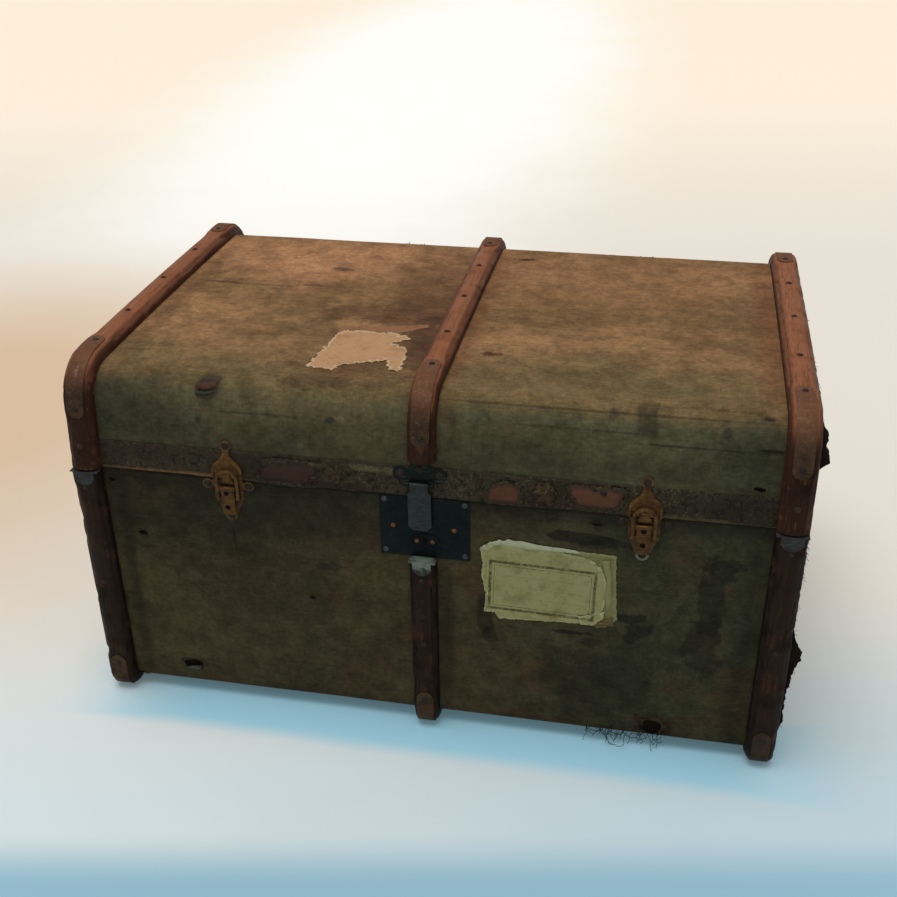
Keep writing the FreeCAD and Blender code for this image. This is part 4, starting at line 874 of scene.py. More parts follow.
# ---- Shaping tools ----
def stations(path: Outline, cell: float) -> list[float]:
    """Distances along an outline that cut each of its runs into equal steps near a cell's size."""
    marks, begun = [0.0], 0.0
    for run in path.runs:
        count = max(2, 2 * round(run.length / cell / 2))
        marks += [begun + run.length * (step + 1) / count for step in range(count)]
        begun += run.length
    return marks


def weld(bm: bmesh.types.BMesh, near: float) -> None:
    """Join vertices nearer than a distance and turn all faces outwards."""
    bmesh.ops.remove_doubles(bm, verts=bm.verts[:], dist=near)
    bmesh.ops.recalc_face_normals(bm, faces=bm.faces[:])


def thicken(piece: Piece, depth: float) -> Piece:
    """Give an open sheet its thickness, inwards from the side that it shows."""
    wall = piece.modifiers.new("thickness", "SOLIDIFY")
    wall.thickness = depth
    wall.offset = -1.0
    wall.use_quality_normals = True
    return piece


def swept(
    name: str, path: Outline, span: tuple[float, float], profile: Outline, x: float, cell: float,
    around: int, wear: Callable[[Vector, Vector], float], swell: Callable[[float], float] | None = None,
) -> Piece:
    """Sweep a closed profile along an outline of the YZ plane.

    Args:
        name: the piece's name.
        path: what the profile follows.
        span: where on the path it starts and ends.
        profile: the section, in X and in height above the path.
        x: the section's own place along X.
        cell: length of a step.
        around: steps around the section.
        wear: how far the surface is worn down at a place, given that place and its section point.
        swell: how much the section is scaled at a distance along the path.

    Returns:
        The closed piece.
    """
    marks = [mark for mark in stations(path, cell) if span[0] < mark < span[1]]
    marks = [span[0], *marks, span[1]]

    def place(share_around: float, share_along: float) -> Vector:
        """Position of a grid point."""
        along = marks[round(share_along * (len(marks) - 1))]
        spot, away = profile.at(share_around * profile.length)
        grown = swell(along) if swell else 1.0
        plain = on_path(path, along, x + spot.x * grown, spot.y * grown)
        lost = wear(plain, spot)
        return on_path(path, along, x + spot.x * grown - away.x * lost, spot.y * grown - away.y * lost)

    bm = grid_over("surface", (around, len(marks) - 1), place, (profile.length, path.length))
    bmesh.ops.remove_doubles(bm, verts=bm.verts[:], dist=0.01 * MM)
    bmesh.ops.holes_fill(bm, edges=[edge for edge in bm.edges if edge.is_boundary], sides=0)
    bmesh.ops.recalc_face_normals(bm, faces=bm.faces[:])
    return new_object(name, bm)


def wrapped_cloth(
    name: str, path: Outline, place: Callable[[float, float], Vector], cell: float, end: float, chords: int,
    depth: float, caps: tuple[float, float], inside: bool = False,
) -> Piece:
    """Cloth along an outline of the YZ plane, closed at its two ends.

    Args:
        name: the piece's name.
        path: the outline that it follows.
        place: gives the position for a distance along the path and an X.
        cell: size of its faces.
        end: half its length.
        chords: stations, counted from each end of the path, that the end faces span.
        depth: its thickness.
        caps: real size of an end face, for the UV map.
        inside: whether its shown side faces the room inside.

    Returns:
        The cloth, open along the path's two ends.
    """
    marks = stations(path, cell)
    across = len(marks) - 1

    def wrapped(share_x: float, share_along: float) -> Vector:
        """A point of the long face."""
        return place(marks[round(share_along * across)], (2 * share_x - 1) * end)

    bm = grid_over("cloth", (round(2 * end / cell), across), wrapped, (2 * end, path.length))
    for side in (-1, 1):

        def closed(share_up: float, share_over: float) -> Vector:
            """A point of an end face: on the chord between two matching stations."""
            step = round(share_up * chords)
            near = place(marks[step], side * end)
            return near.lerp(place(marks[across - step], side * end), share_over)

        cap = grid_over("cloth", (chords, max(across - 2 * chords, 12)), closed, caps)
        if side > 0 and not inside:
            bmesh.ops.reverse_faces(cap, faces=cap.faces[:])
        spare = bpy.data.meshes.new("spare")
        cap.to_mesh(spare)
        cap.free()
        bm.from_mesh(spare)
        bpy.data.meshes.remove(spare)
    weld(bm, 0.05 * MM)
    if inside:
        bmesh.ops.reverse_faces(bm, faces=bm.faces[:])
    return thicken(new_object(name, bm, 50.0), depth)


def ragged_sheet(
    name: str, corners: Sequence[tuple[float, float]], place: Callable[[float, float, float], Vector],
    seed: int, jag: float = 0.8, curl: float = 0.8, pitch: float = 2.5, border: float = 2.5,
    depth: float = 0.25,
) -> Piece:
    """A torn flat sheet whose rim stands up a little.

    Args:
        name: the piece's name.
        corners: its outline, in millimetres.
        place: gives the position for two coordinates in millimetres and a height in metres.
        seed: start of its random draws.
        jag: how far its edge is torn, in millimetres.
        curl: how far its rim lifts, in millimetres.
        pitch: length of its torn edge's teeth.
        border: width of the rim.
        depth: thickness of the sheet.

    Returns:
        The sheet.
    """
    draw = random.Random(seed)
    bm = bmesh.new()
    ring = [bm.verts.new((x, y, 0.0)) for x, y in corners]
    sheet = bm.faces.new(ring)
    for edge in sheet.edges[:]:
        cuts = int(edge.calc_length() / pitch)
        if cuts > 0:
            bmesh.ops.subdivide_edges(bm, edges=[edge], cuts=cuts)
    for vert in bm.verts:
        vert.co += Vector((draw.uniform(-jag, jag), draw.uniform(-jag, jag), 0.0))
    bm.normal_update()
    if bm.faces[:][0].normal.z < 0:
        bmesh.ops.reverse_faces(bm, faces=bm.faces[:])
    bmesh.ops.inset_region(bm, faces=bm.faces[:], thickness=border, use_even_offset=False)
    xs, ys = [vert.co.x for vert in bm.verts], [vert.co.y for vert in bm.verts]
    for axis, places in ((Vector((1, 0, 0)), xs), (Vector((0, 1, 0)), ys)):
        for step in range(1, int((max(places) - min(places)) / 8)):
            cut = axis * (min(places) + step * 8)
            bmesh.ops.bisect_plane(
                bm, geom=bm.verts[:] + bm.edges[:] + bm.faces[:], plane_co=cut, plane_no=axis
            )
    bmesh.ops.triangulate(bm, faces=bm.faces[:])
    rim = bm.verts.layers.float.new("rim")
    for vert in bm.verts:
        lift = depth
        if vert.is_boundary:
            vert[rim] = 1.0
            wave = 0.5 + rough(vert.co.x, vert.co.y, seed, 0.07)
            lift += curl * max(0.0, wave) * draw.uniform(0.7, 1.0)
        vert.co = place(vert.co.x, vert.co.y, lift * MM)
    piece = new_object(name, bm, 60.0)
    return thicken(piece, depth * MM * 0.9)


def softened(node: str, name: str, width: float, sharp: float = 32.0) -> Piece:
    """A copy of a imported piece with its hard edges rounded.

    Args:
        node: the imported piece.
        name: the copy's name.
        width: width of the rounding.
        sharp: degrees between faces above which an edge is rounded.

    Returns:
        The copy.
    """
    bm = bmesh.new()
    bm.from_mesh(bpy.data.objects[node].data)
    bmesh.ops.remove_doubles(bm, verts=bm.verts[:], dist=0.005 * MM)
    bmesh.ops.dissolve_limit(bm, angle_limit=math.radians(1.0), verts=bm.verts[:], edges=bm.edges[:])
    limit = math.radians(sharp)
    hard = [e for e in bm.edges if len(e.link_faces) == 2 and e.calc_face_angle(0.0) > limit]
    bmesh.ops.bevel(
        bm, geom=hard, offset=width, segments=2, profile=0.5, affect="EDGES", clamp_overlap=True,
        material=-1,
    )
    bmesh.ops.remove_doubles(bm, verts=bm.verts[:], dist=0.002 * MM)
    return new_object(name, bm, 35.0)


def threads(
    name: str, starts: Sequence[tuple[Vector, Vector]], length: float, thick: float, seed: int,
    curly: float = 0.5,
) -> Piece:
    """Loose threads that leave torn cloth and droop.

    Args:
        name: the piece's name.
        starts: where each thread leaves the cloth, and its direction there.
        length: the usual length of a thread.
        thick: its diameter.
        seed: start of the random draws.
        curly: how much each thread bends on its way.

    Returns:
        One mesh of all the threads.
    """
    draw = random.Random(seed)
    drawn = bpy.data.curves.new(name + "_lines", "CURVE")
    drawn.dimensions = "3D"
    drawn.bevel_depth = thick / 2
    drawn.bevel_resolution = 1
    drawn.use_fill_caps = True
    for start, way in starts:
        reach = length * draw.uniform(0.3, 1.5)
        points, ahead = [start.copy()], way.normalized()
        for _ in range(7):
            bent = Vector([draw.gauss(0, curly) for _ in range(3)]) + Vector((0, 0, -0.3))
            ahead = (ahead + bent * 0.6).normalized()
            points.append(points[-1] + ahead * reach / 7)
        spline = drawn.splines.new("NURBS")
        spline.points.add(len(points) - 1)
        for point, spot in zip(spline.points, points):
            point.co = (*spot, 1.0)
        spline.order_u = 3
        spline.use_endpoint_u = True
        spline.resolution_u = 3
    carrier = bpy.data.objects.new(name + "_lines", drawn)
    bpy.context.scene.collection.objects.link(carrier)
    bpy.context.view_layer.update()
    graph = bpy.context.evaluated_depsgraph_get()
    mesh = bpy.data.meshes.new_from_object(carrier.evaluated_get(graph))
    bpy.data.objects.remove(carrier)
    bm = bmesh.new()
    bm.from_mesh(mesh)
    bpy.data.meshes.remove(mesh)
    return new_object(name, bm)


# ---- Canvas ----
@dataclass
class CanvasCovers:
    """The painted canvas over the case and over the lid."""

    form: TrunkForm
    cell: float = 6 * MM
    wave: float = 0.45 * MM
    ripple: float = 0.12 * MM

    def lift(self, spot: Vector) -> float:
        """How far the cloth stands off its board, a little uneven."""
        slow = rough(spot.x, spot.y, spot.z, 9.0)
        return self.wave * slow + self.ripple * rough(spot.z, spot.x, spot.y, 45.0)

    def surface(self, path: Outline, along: float, x: float, out: float = 0.0) -> Vector:
        """A place on the uneven cloth, raised from it by out."""
        plain = on_path(path, along, x, 0.0)
        return on_path(path, along, x, self.lift(plain) + out)

    def on_front(self, x: float, z: float, out: float) -> Vector:
        """A place on the case's front, from two coordinates in millimetres."""
        path = self.form.case_outline()
        return self.surface(path, path.length - self.form.case_top + z * MM, x * MM, out)

    def on_lid_front(self, x: float, z: float, out: float) -> Vector:
        """A place on the lid's leaning front."""
        along = (z * MM - self.form.lid_low) / math.cos(self.form.lean)
        return self.surface(self.form.lid_outline(), along, x * MM, out)

    def on_top(self, x: float, y: float, out: float) -> Vector:
        """A place on the lid's crown."""
        path = self.form.lid_outline()
        begun = path.runs[0].length + path.runs[1].length
        return self.surface(path, begun + y * MM - path.runs[2].start.x, x * MM, out)

    def build(self) -> None:
        """Make and dress both covers."""
        form = self.form
        case, lid = form.case_outline(), form.lid_outline()
        bottom_from = case.runs[0].length + case.runs[1].length
        walls = sum(1 for mark in stations(case, self.cell) if mark < bottom_from - 1e-6)
        half_lid = (len(stations(lid, self.cell)) - 1) // 2
        caps = (0.5, 2 * abs(form.front))
        for body, path, chords, finish, node in (
            ("case", case, walls, CASE_CANVAS, "body_canvas"),
            ("lid", lid, half_lid, LID_CANVAS, "lid_canvas"),
        ):

            def place(along: float, x: float) -> Vector:
                """A place on this cover."""
                return self.surface(path, along, x)

            name = f"{body}_canvas_cover"
            made = wrapped_cloth(name, path, place, self.cell, form.end, chords, form.canvas, caps)
            place_piece(made, body, "olive_canvas", finish, [node])


# ---- Battens ----
@dataclass
class Battens:
    """Six bentwood battens, chipped and worn along their edges."""

    form: TrunkForm
    round_off: float = 9 * MM
    cell: float = 4 * MM
    around: int = 52
    cap: float = 1 * MM
    over_hasp: float = 0.5 * MM
    crown: float = 5 * MM

    def profile(self, width: float) -> Outline:
        """Section of a batten: flat on the canvas, its two outer edges rounded."""
        half, tall, turn = width / 2, self.form.batten, self.round_off
        left = Run.arc(Vector((turn - half, tall - turn)), turn, math.pi, math.pi / 2)
        right = Run.arc(Vector((half - turn, tall - turn)), turn, math.pi / 2, 0.0)
        low_left, low_right = Vector((-half, 0.0)), Vector((half, 0.0))
        upper = Outline.around(low_left, (left, right), low_right)
        return Outline([*upper.runs, Run(low_right, low_left)])

    @staticmethod
    def bare(*nodes: str) -> Callable[[Vector], float]:
        """How far a place is clear of the metal on a batten: 0 beside it, 1 well away."""
        trees = []
        for node in nodes:
            bm = bmesh.new()
            bm.from_mesh(bpy.data.objects[node].data)
            trees.append(BVHTree.FromBMesh(bm))
            bm.free()
        return lambda spot: smooth(min(tree.find_nearest(spot)[3] for tree in trees), 3 * MM, 22 * MM)

    def worn(
        self, depth: float, half: float, bare: Callable[[Vector], float]
    ) -> Callable[[Vector, Vector], float]:
        """How far a batten is worn down: its rounded back, chips along its edges and shallow dents."""
        level = self.form.batten - self.round_off

        def lost(spot: Vector, section: Vector) -> float:
            """Depth lost at a place."""
            if section.y < 2 * MM:
                return 0.0
            raised = max(0.0, section.y - level) / self.round_off
            crown = self.crown * (section.x / half) ** 2 * raised * bare(spot)
            edge = smooth(abs(section.x), half - 9 * MM, half - 2 * MM)
            chip = smooth(rough(spot.x * 2, spot.y, spot.z, 55.0), 0.12, 0.55)
            fine = smooth(rough(spot.x, spot.y, spot.z, 190.0), 0.0, 0.6)
            return crown + depth * (edge * chip + 0.35 * edge * fine + 0.12 * chip)

        return lost

    def span_x(self, node: str) -> tuple[float, float]:
        """Middle and width of a packed batten."""
        low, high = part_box(node)
        return (low.x + high.x) / 2, high.x - low.x

    def build(self) -> None:
        """Make and dress all six."""
        form = self.form
        case, lid = form.case_outline(), form.lid_outline()
        plate_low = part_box("lock_plate")[0].z
        hasp_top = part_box("hasp_hinge_plate")[1].z
        body_bare = self.bare("body_bend_straps", "batten_end_caps")
        lid_bare = self.bare("lid_bend_straps")
        for name in ("left", "centre", "right"):
            middle, width = self.span_x(f"body_batten_{name}")
            profile = self.profile(width)
            top = (plate_low if name == "centre" else form.case_top) - self.cap
            span = (0.0, case.length - (form.case_top - top))
            wear = self.worn(1.5 * MM, width / 2, body_bare)
            made = swept(
                f"body_bentwood_{name}", case, span, profile, middle, self.cell, self.around, wear
            )
            place_piece(made, "case", "batten_wood_body", BODY_WOOD, [f"body_batten_{name}"])
            start = (hasp_top + self.over_hasp - form.lid_low) / math.cos(form.lean)
            span = (start if name == "centre" else 0.0, lid.length)
            wear = self.worn(0.6 * MM, width / 2, lid_bare)
            made = swept(f"lid_bentwood_{name}", lid, span, profile, middle, self.cell, self.around, wear)
            place_piece(made, "lid", "batten_wood_lid", LID_WOOD, [f"lid_batten_{name}"])


# ---- Valance band ----
@dataclass(frozen=True)
class Dip:
    """A stretch where the band's lower edge hangs lower or is worn away, in millimetres."""

    x: float
    half: float
    drop: float


@dataclass
class Valance:
    """The fibre band around the lid's lower edge."""

    form: TrunkForm
    cell: float = 2.8 * MM
    rows: int = 18
    corner: float = 3 * MM
    wave: float = 0.35 * MM
    crinkle: float = 0.5 * MM
    lip: float = 1.1 * MM
    dips: tuple[Dip, ...] = (
        Dip(-420, 70, -4.5), Dip(-330, 60, -2.0), Dip(-165, 60, 3.0), Dip(-90, 30, 1.0),
        Dip(120, 60, 1.2), Dip(330, 90, -2.2), Dip(430, 40, -3.0),
    )

    def on_band(self, x: float, z: float, out: float) -> Vector:
        """A place on the band's front face, from two coordinates in millimetres."""
        face = self.form.lid_face_y(z * MM) - self.form.band / math.cos(self.form.lean)
        return Vector((x * MM, face - out, z * MM))

    def low_edge(self, x: float) -> float:
        """Height of the band's front lower edge."""
        low = self.form.lid_low
        for dip in self.dips:
            low -= dip.drop * MM * (1 - smooth(abs(x - dip.x * MM), 0.0, dip.half * MM))
        return low + 0.5 * MM * rough(x, 0.0, 0.0, 90.0)

    def build(self) -> None:
        """Make and dress the band."""
        form = self.form
        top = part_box("valance_band")[1].z
        half_x = form.end + form.band
        half_y = -form.front + form.band / math.cos(form.lean)
        turn = self.corner
        right, inset = math.pi / 2, half_y - turn
        corners = []
        for x, y, angle in ((1, inset, right), (1, -inset, 0.0), (-1, -inset, -right), (-1, inset, math.pi)):
            middle = Vector((x * (half_x - turn), y))
            corners.append(Run.arc(middle, turn, angle, angle - right))
        runs = []
        for here, after in zip(corners, corners[1:] + corners[:1]):
            runs += [here, Run(here.end, after.start)]
        plan = Outline(runs)
        marks = stations(plan, self.cell)

        def place(share_along: float, share_up: float) -> Vector:
            """A point of the band's outer face."""
            spot, away = plan.at(marks[round(share_along * (len(marks) - 1))])
            faces_front = spot.y < turn - half_y + 1e-6
            low = self.low_edge(spot.x) if faces_front else form.lid_low
            z = low + (top - low) * share_up
            spread = -form.lid_face_y(z) / -form.front
            lift = self.wave * rough(spot.x, spot.y, z, 40.0)
            lift += self.crinkle * rough(spot.x, spot.y, z, 160.0)
            if faces_front:
                lip = 1 - smooth(share_up, 0.0, 0.22)
                lift += self.lip * lip * smooth(rough(spot.x, 3.0, 0.0, 22.0), -0.1, 0.4)
            spot = spot + away * lift
            return Vector((spot.x, spot.y * spread, z))

        bm = grid_over("surface", (len(marks) - 1, self.rows), place, (plan.length, top - form.lid_low))
        weld(bm, 0.02 * MM)
        made = thicken(new_object("valance_band_worn", bm, 60.0), form.band)
        place_piece(made, "lid", "fibre_band", BAND, ["valance_band"])


# ---- Scraps: paper, peeled fibre and tin ----
class Face(Enum):
    """The surfaces that scraps lie on."""

    CASE_FRONT = "case"
    LID_FRONT = "lid front"
    LID_TOP = "lid top"
    BAND = "band"


@dataclass(frozen=True)
class Scrap:
    """A torn sheet: its outline in millimetres, how high it lies and how much its rim curls."""

    face: Face
    slot: str
    name: str
    finish: Finish
    height: float
    curl: float
    seed: int
    corners: tuple[tuple[float, float], ...]
    jag: float = 0.8
    border: float = 2.5
    replaced: tuple[str, ...] = ()

    def grown(self, name: str, finish: Finish, margin: float, height: float, curl: float) -> "Scrap":
        """A larger sheet of another finish, to lie under this one."""
        middle = sum((Vector(corner) for corner in self.corners), Vector((0.0, 0.0))) / len(self.corners)
        out = []
        for corner in self.corners:
            away = Vector(corner) - middle
            out.append(tuple(middle + away * (1 + margin / away.length)))
        under = (name, finish, height, curl, self.seed + 50, tuple(out), 1.3, 2.0)
        return Scrap(self.face, self.slot, *under)


def sheets(face: Face, slot: str, *rows: tuple) -> tuple[Scrap, ...]:
    """Scraps on one surface and of one slot, each row the rest of a scrap's values."""
    return tuple(Scrap(face, slot, *row) for row in rows)


@dataclass
class Scraps:
    """The bare layered label, the torn paper on top, peeled patches of the band and bent tin."""

    covers: CanvasCovers
    valance: Valance

    def build(self) -> None:
        """Make and dress every sheet."""
        places = {
            Face.CASE_FRONT: self.covers.on_front, Face.LID_FRONT: self.covers.on_lid_front,
            Face.LID_TOP: self.covers.on_top, Face.BAND: self.valance.on_band,
        }
        for scrap in SCRAPS:
            place = places[scrap.face]

            def raised(x: float, y: float, out: float) -> Vector:
                """A place on the sheet."""
                return place(x, y, out + scrap.height * MM)

            made = ragged_sheet(
                scrap.name, scrap.corners, raised, scrap.seed, scrap.jag, scrap.curl, border=scrap.border
            )
            body = "case" if scrap.face is Face.CASE_FRONT else "lid"
            place_piece(made, body, scrap.slot, scrap.finish, scrap.replaced)


# ---- Torn cloth ----
@dataclass(frozen=True)
class Hole:
    """A hole worn in the canvas, its middle and half size in millimetres."""

    name: str
    middle: tuple[float, float]
    half: tuple[float, float]
    frayed: int = 8
    on_lid: bool = False


@dataclass(frozen=True)
class Ribbon:
    """Torn covering that peels off the right end beside a batten.

    The start and end are distances in millimetres: heights on the case, and along the lid's
    outline on the lid.
    """

    name: str
    on_lid: bool
    start: float
    end: float
    reach: float
    seed: int
    inset: float = 9.0
    peak: float = 0.5


@dataclass
class Tears:
    """Holes, peeled covering and loose threads."""

    covers: CanvasCovers
    thread: float = 0.55 * MM

    def fray(
        self, name: str, body: str, starts: list, length: float, share: float, seed: int, curly: float = 0.5
    ) -> Piece:
        """Make and dress threads of a length in millimetres and a share of the usual thickness."""
        made = threads(name, starts, length * MM, self.thread * share, seed, curly)
        place_piece(made, body, "olive_canvas", THREAD)
        return made

    def hole(self, hole: Hole, number: int) -> None:
        """A dark opening, a near-black sheet of painted shade, with lifted shreds of canvas and threads
        round it.
        """
        draw = random.Random(100 + number)
        place = self.covers.on_lid_front if hole.on_lid else self.covers.on_front
        body = "lid" if hole.on_lid else "case"
        (x, z), (wide, tall) = hole.middle, hole.half
        canvas = LID_SHRED if hole.on_lid else CASE_SHRED
        # The opening layer is a near-black sheet: painted shade inside the hole.
        layers = (("rim", 1.35, 0.0, canvas), ("opening", 1.0, 0.5 * MM, HOLE_SHADE))
        for part, size, height, finish in layers:
            ring = []
            for step in range(13):
                angle, reach = TAU * step / 13, size * draw.uniform(0.65, 1.15)
                ring.append((x + wide * reach * math.cos(angle), z + tall * reach * math.sin(angle)))

            def raised(along: float, up: float, out: float) -> Vector:
                """A place on this layer."""
                return place(along, up, out + height)

            made = ragged_sheet(f"{hole.name}_{part}", ring, raised, number, 0.5, 0.9, 1.6, 0.8, 0.25)
            place_piece(made, body, "olive_canvas", finish)
        starts = []
        for _ in range(hole.frayed):
            angle = draw.uniform(0, TAU)
            start = place(x + wide * math.cos(angle), z + tall * math.sin(angle), 0.3 * MM)
            starts.append((start, Vector((math.cos(angle) * 0.6, -0.5, -0.5))))
        self.fray(hole.name + "_threads", body, starts, 6, 0.7, number)

    def ribbon(self, ribbon: Ribbon) -> None:
        """A strip of covering that stands out past the right end."""
        form = self.covers.form
        path = form.lid_outline() if ribbon.on_lid else form.case_outline()
        begin, end = ribbon.start * MM, ribbon.end * MM
        if not ribbon.on_lid:
            top = path.length - form.case_top
            begin, end = top + begin, top + end
        rows = max(6, round((end - begin) / (1.6 * MM)))

        def place(share_out: float, share_along: float) -> Vector:
            """A point of the strip, from its root on the end to its torn rim."""
            along = begin + (end - begin) * share_along
            plain = on_path(path, along, 0.0, 0.0)
            ends = smooth(share_along, 0.0, ribbon.peak) * (1 - smooth(share_along, ribbon.peak, 1.0))
            torn = 0.85 + 0.35 * rough(plain.y, plain.z, ribbon.seed, 60.0)
            torn += 0.16 * rough(plain.y, plain.z, ribbon.seed, 260.0)
            reach = ribbon.reach * MM * max(0.15, torn) * (0.12 + 0.88 * ends)
            fold = 3.0 * MM * rough(plain.y, plain.z, ribbon.seed + 4.0, 45.0) * share_out
            x = form.end + 0.2 * MM + reach * share_out
            return on_path(path, along, x, -ribbon.inset * MM + fold + 3 * MM * share_out)

        bm = grid_over("cloth", (6, rows), place, (ribbon.reach * MM, end - begin))
        draw = random.Random(ribbon.seed)
        starts = [
            (vert.co.copy(), Vector((0.8, -0.3, -0.3)))
            for vert in bm.verts
            if vert.is_boundary and vert.co.x > form.end + 1.2 * MM and draw.random() < 0.1
        ]
        body = "lid" if ribbon.on_lid else "case"
        made = thicken(new_object(ribbon.name, bm, 70.0), 0.9 * MM)
        place_piece(made, body, "olive_canvas", DARK_CLOTH)
        if starts:
            self.fray(ribbon.name + "_threads", body, starts, 4, 0.7, ribbon.seed)

    def frayed_edge(self) -> None:
        """Threads that hang from the canvas along the case's front lower edge."""
        draw = random.Random(31)
        starts = []
        clumps = [(214, 3), (232, 5), (243, 3), (256, 8), (268, 4), (281, 4), (299, 6)]
        for middle, spread in clumps:
            for _ in range(6):
                start = self.covers.on_front(draw.gauss(middle, spread), 18.5, 0.2 * MM)
                starts.append((start, Vector((draw.uniform(-1, 1), -0.7, -0.7))))
        made = self.fray("lower_edge_threads", "case", starts, 24, 1.2, 32, 1.1)
        for vert in made.data.vertices:
            vert.co.z = max(vert.co.z, 0.6 * MM)

    def fuzz(self) -> None:
        """Tufts at the lid's back edge and beside the right batten."""
        draw = random.Random(41)
        starts = []
        for x, y in ((-138, 251), (-130, 252), (-112, 253), (229, 246), (246, 247), (186, 252)):
            for _ in range(6):
                place = self.covers.on_top(x + draw.uniform(-4, 4), y, 0.0)
                starts.append((place, Vector((draw.uniform(-1, 1), 0.2, 1.4))))
        self.fray("back_edge_fuzz", "lid", starts, 3, 0.9, 42, 1.5)
        starts = []
        for _ in range(46):
            z = draw.choice((draw.uniform(150, 340), draw.uniform(285, 345)))
            place = Vector((self.covers.form.end, self.covers.form.front + 2 * MM, z * MM))
            starts.append((place, Vector((1.0, draw.uniform(-0.6, 0.2), draw.uniform(-0.5, 0.5)))))
        self.fray("right_end_fuzz", "case", starts, 7, 0.8, 43)

    def build(self) -> None:
        """Make all of them."""
        for number, hole in enumerate(HOLES, 1):
            self.hole(hole, number)
        for ribbon in RIBBONS:
            self.ribbon(ribbon)
        self.frayed_edge()
        self.fuzz()


# ---- Metal fittings ----
@dataclass(frozen=True)
class Fitting:
    """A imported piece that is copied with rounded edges, its body, slot and finish."""

    node: str
    body: str
    slot: str
    finish: Finish
    width: float = 0.3


@dataclass
class Fittings:
    """Straps, catches, hasp and lock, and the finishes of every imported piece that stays."""

    nodes: dict[str, Piece]
    raised: float = 1.1 * MM

    def rivet_heads(self) -> None:
        """The band's rivets with their heads raised to stand over the crinkled band."""
        made = softened("band_rivets", "band_rivets_worn", 0.6 * MM)
        for vert in made.data.vertices:
            vert.co.y += math.copysign(self.raised, vert.co.y)
        place_piece(made, "lid", "dark_iron", DARK_IRON, ["band_rivets"])

    def build(self) -> None:
        """Soften the large fittings and dress the rest."""
        for item in FITTINGS:
            made = softened(item.node, item.node + "_worn", item.width * MM)
            place_piece(made, item.body, item.slot, item.finish, [item.node])
        self.rivet_heads()
        for finish, names in KEPT_NODES:
            material = finish.material()
            for name in names:
                kept = self.nodes[name].data.materials
                kept.clear()
                kept.append(material)
                log.info("%s keeps its packed shape", name)


# ---- End handles ----
@dataclass
class Handles:
    """A leather handle at each end: rod, swollen grip, seam of stitches and iron stubs."""

    rod: float = 5 * MM
    swell: float = 1.75
    grip_half: float = 42 * MM
    corner: float = 22 * MM
    stub: float = 3 * MM
    eye: float = 6.4 * MM
    stitch_pitch: float = 5.2 * MM
    around: int = 28

    def make(self, side: str) -> None:
        """Make one handle."""
        low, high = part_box(f"{side}_handle")
        plate_low, plate_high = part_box("handle_brackets")
        x = (low.x + high.x) / 2
        level = (plate_low.z + plate_high.z) / 2
        bottom = low.z + self.rod * self.swell
        span = high.y - 13 * MM
        path = Outline.trough(-span, span, bottom, level, self.corner)
        circle = Outline([Run.arc(Vector((0.0, 0.0)), self.rod, 0.0, -TAU)])
        middle = path.length / 2

        def swelling(along: float) -> float:
            """The rod's thickness: swollen over the grip, with a rounded bead at each end."""
            away = abs(along - middle)
            grip = 1 - smooth(away, self.grip_half * 0.55, self.grip_half * 1.05)
            bead = 0.22 * (1 - smooth(abs(away - self.grip_half * 1.12), 0.0, 3 * MM))
            return 1 + (self.swell - 1) * grip + bead

        def creased(spot: Vector, section: Vector) -> float:
            """Small creases of the leather."""
            return 0.18 * MM * max(0.0, rough(spot.x, spot.y, spot.z, 320.0))

        span_all, name = (0.0, path.length), f"{side}_leather_handle"
        made = swept(name, path, span_all, circle, x, 2 * MM, self.around, creased, swelling)
        place_piece(made, f"{side}_handle", "handle_leather", HANDLE_LEATHER, [f"{side}_handle"])
        bm, pins = bmesh.new(), bmesh.new()
        turned = Matrix.Rotation(TAU / 4, 4, "X")
        for end in (-1, 1):
            eye = Matrix.Translation((x, end * span, level)) @ Matrix.Diagonal((1.0, 0.8, 1.0, 1.0))
            bmesh.ops.create_uvsphere(bm, u_segments=24, v_segments=16, radius=self.eye, matrix=eye)
            pin = Matrix.Translation((x, end * (span + 6 * MM), level)) @ turned
            size = {"radius1": self.stub, "radius2": self.stub, "depth": 13.6 * MM}
            bmesh.ops.create_cone(pins, cap_ends=True, segments=28, matrix=pin, **size)
        made = new_object(f"{side}_handle_eyes", bm)
        place_piece(made, f"{side}_handle", "handle_leather", HANDLE_LEATHER)
        made = new_object(f"{side}_handle_stubs", pins)
        place_piece(made, f"{side}_handle", "dark_iron", DARK_IRON)
        self.stitches(side, path, x, swelling)

    def stitches(self, side: str, path: Outline, x: float, swelling: Callable[[float], float]) -> None:
        """A row of waxed stitches along the grip's outer face."""
        bm = bmesh.new()
        count = int(1.7 * self.grip_half / self.stitch_pitch)
        outward = 1 if x > 0 else -1
        for step in range(count):
            along = path.length / 2 + (step - (count - 1) / 2) * self.stitch_pitch
            radius = self.rod * swelling(along)
            seat = on_path(path, along, x + outward * radius * 0.92, -radius * 0.36)
            shape = Matrix.Translation(seat) @ Matrix.Rotation(0.12, 4, "X")
            shape = shape @ Matrix.Diagonal((0.45 * MM, 1.7 * MM, 0.45 * MM, 1.0))
            bmesh.ops.create_icosphere(bm, subdivisions=2, radius=1.0, matrix=shape)
        made = new_object(f"{side}_handle_stitches", bm)
        place_piece(made, f"{side}_handle", "handle_leather", WAXED_THREAD)

    def build(self) -> None:
        """Make both handles."""
        for side in ("left", "right"):
            self.make(side)


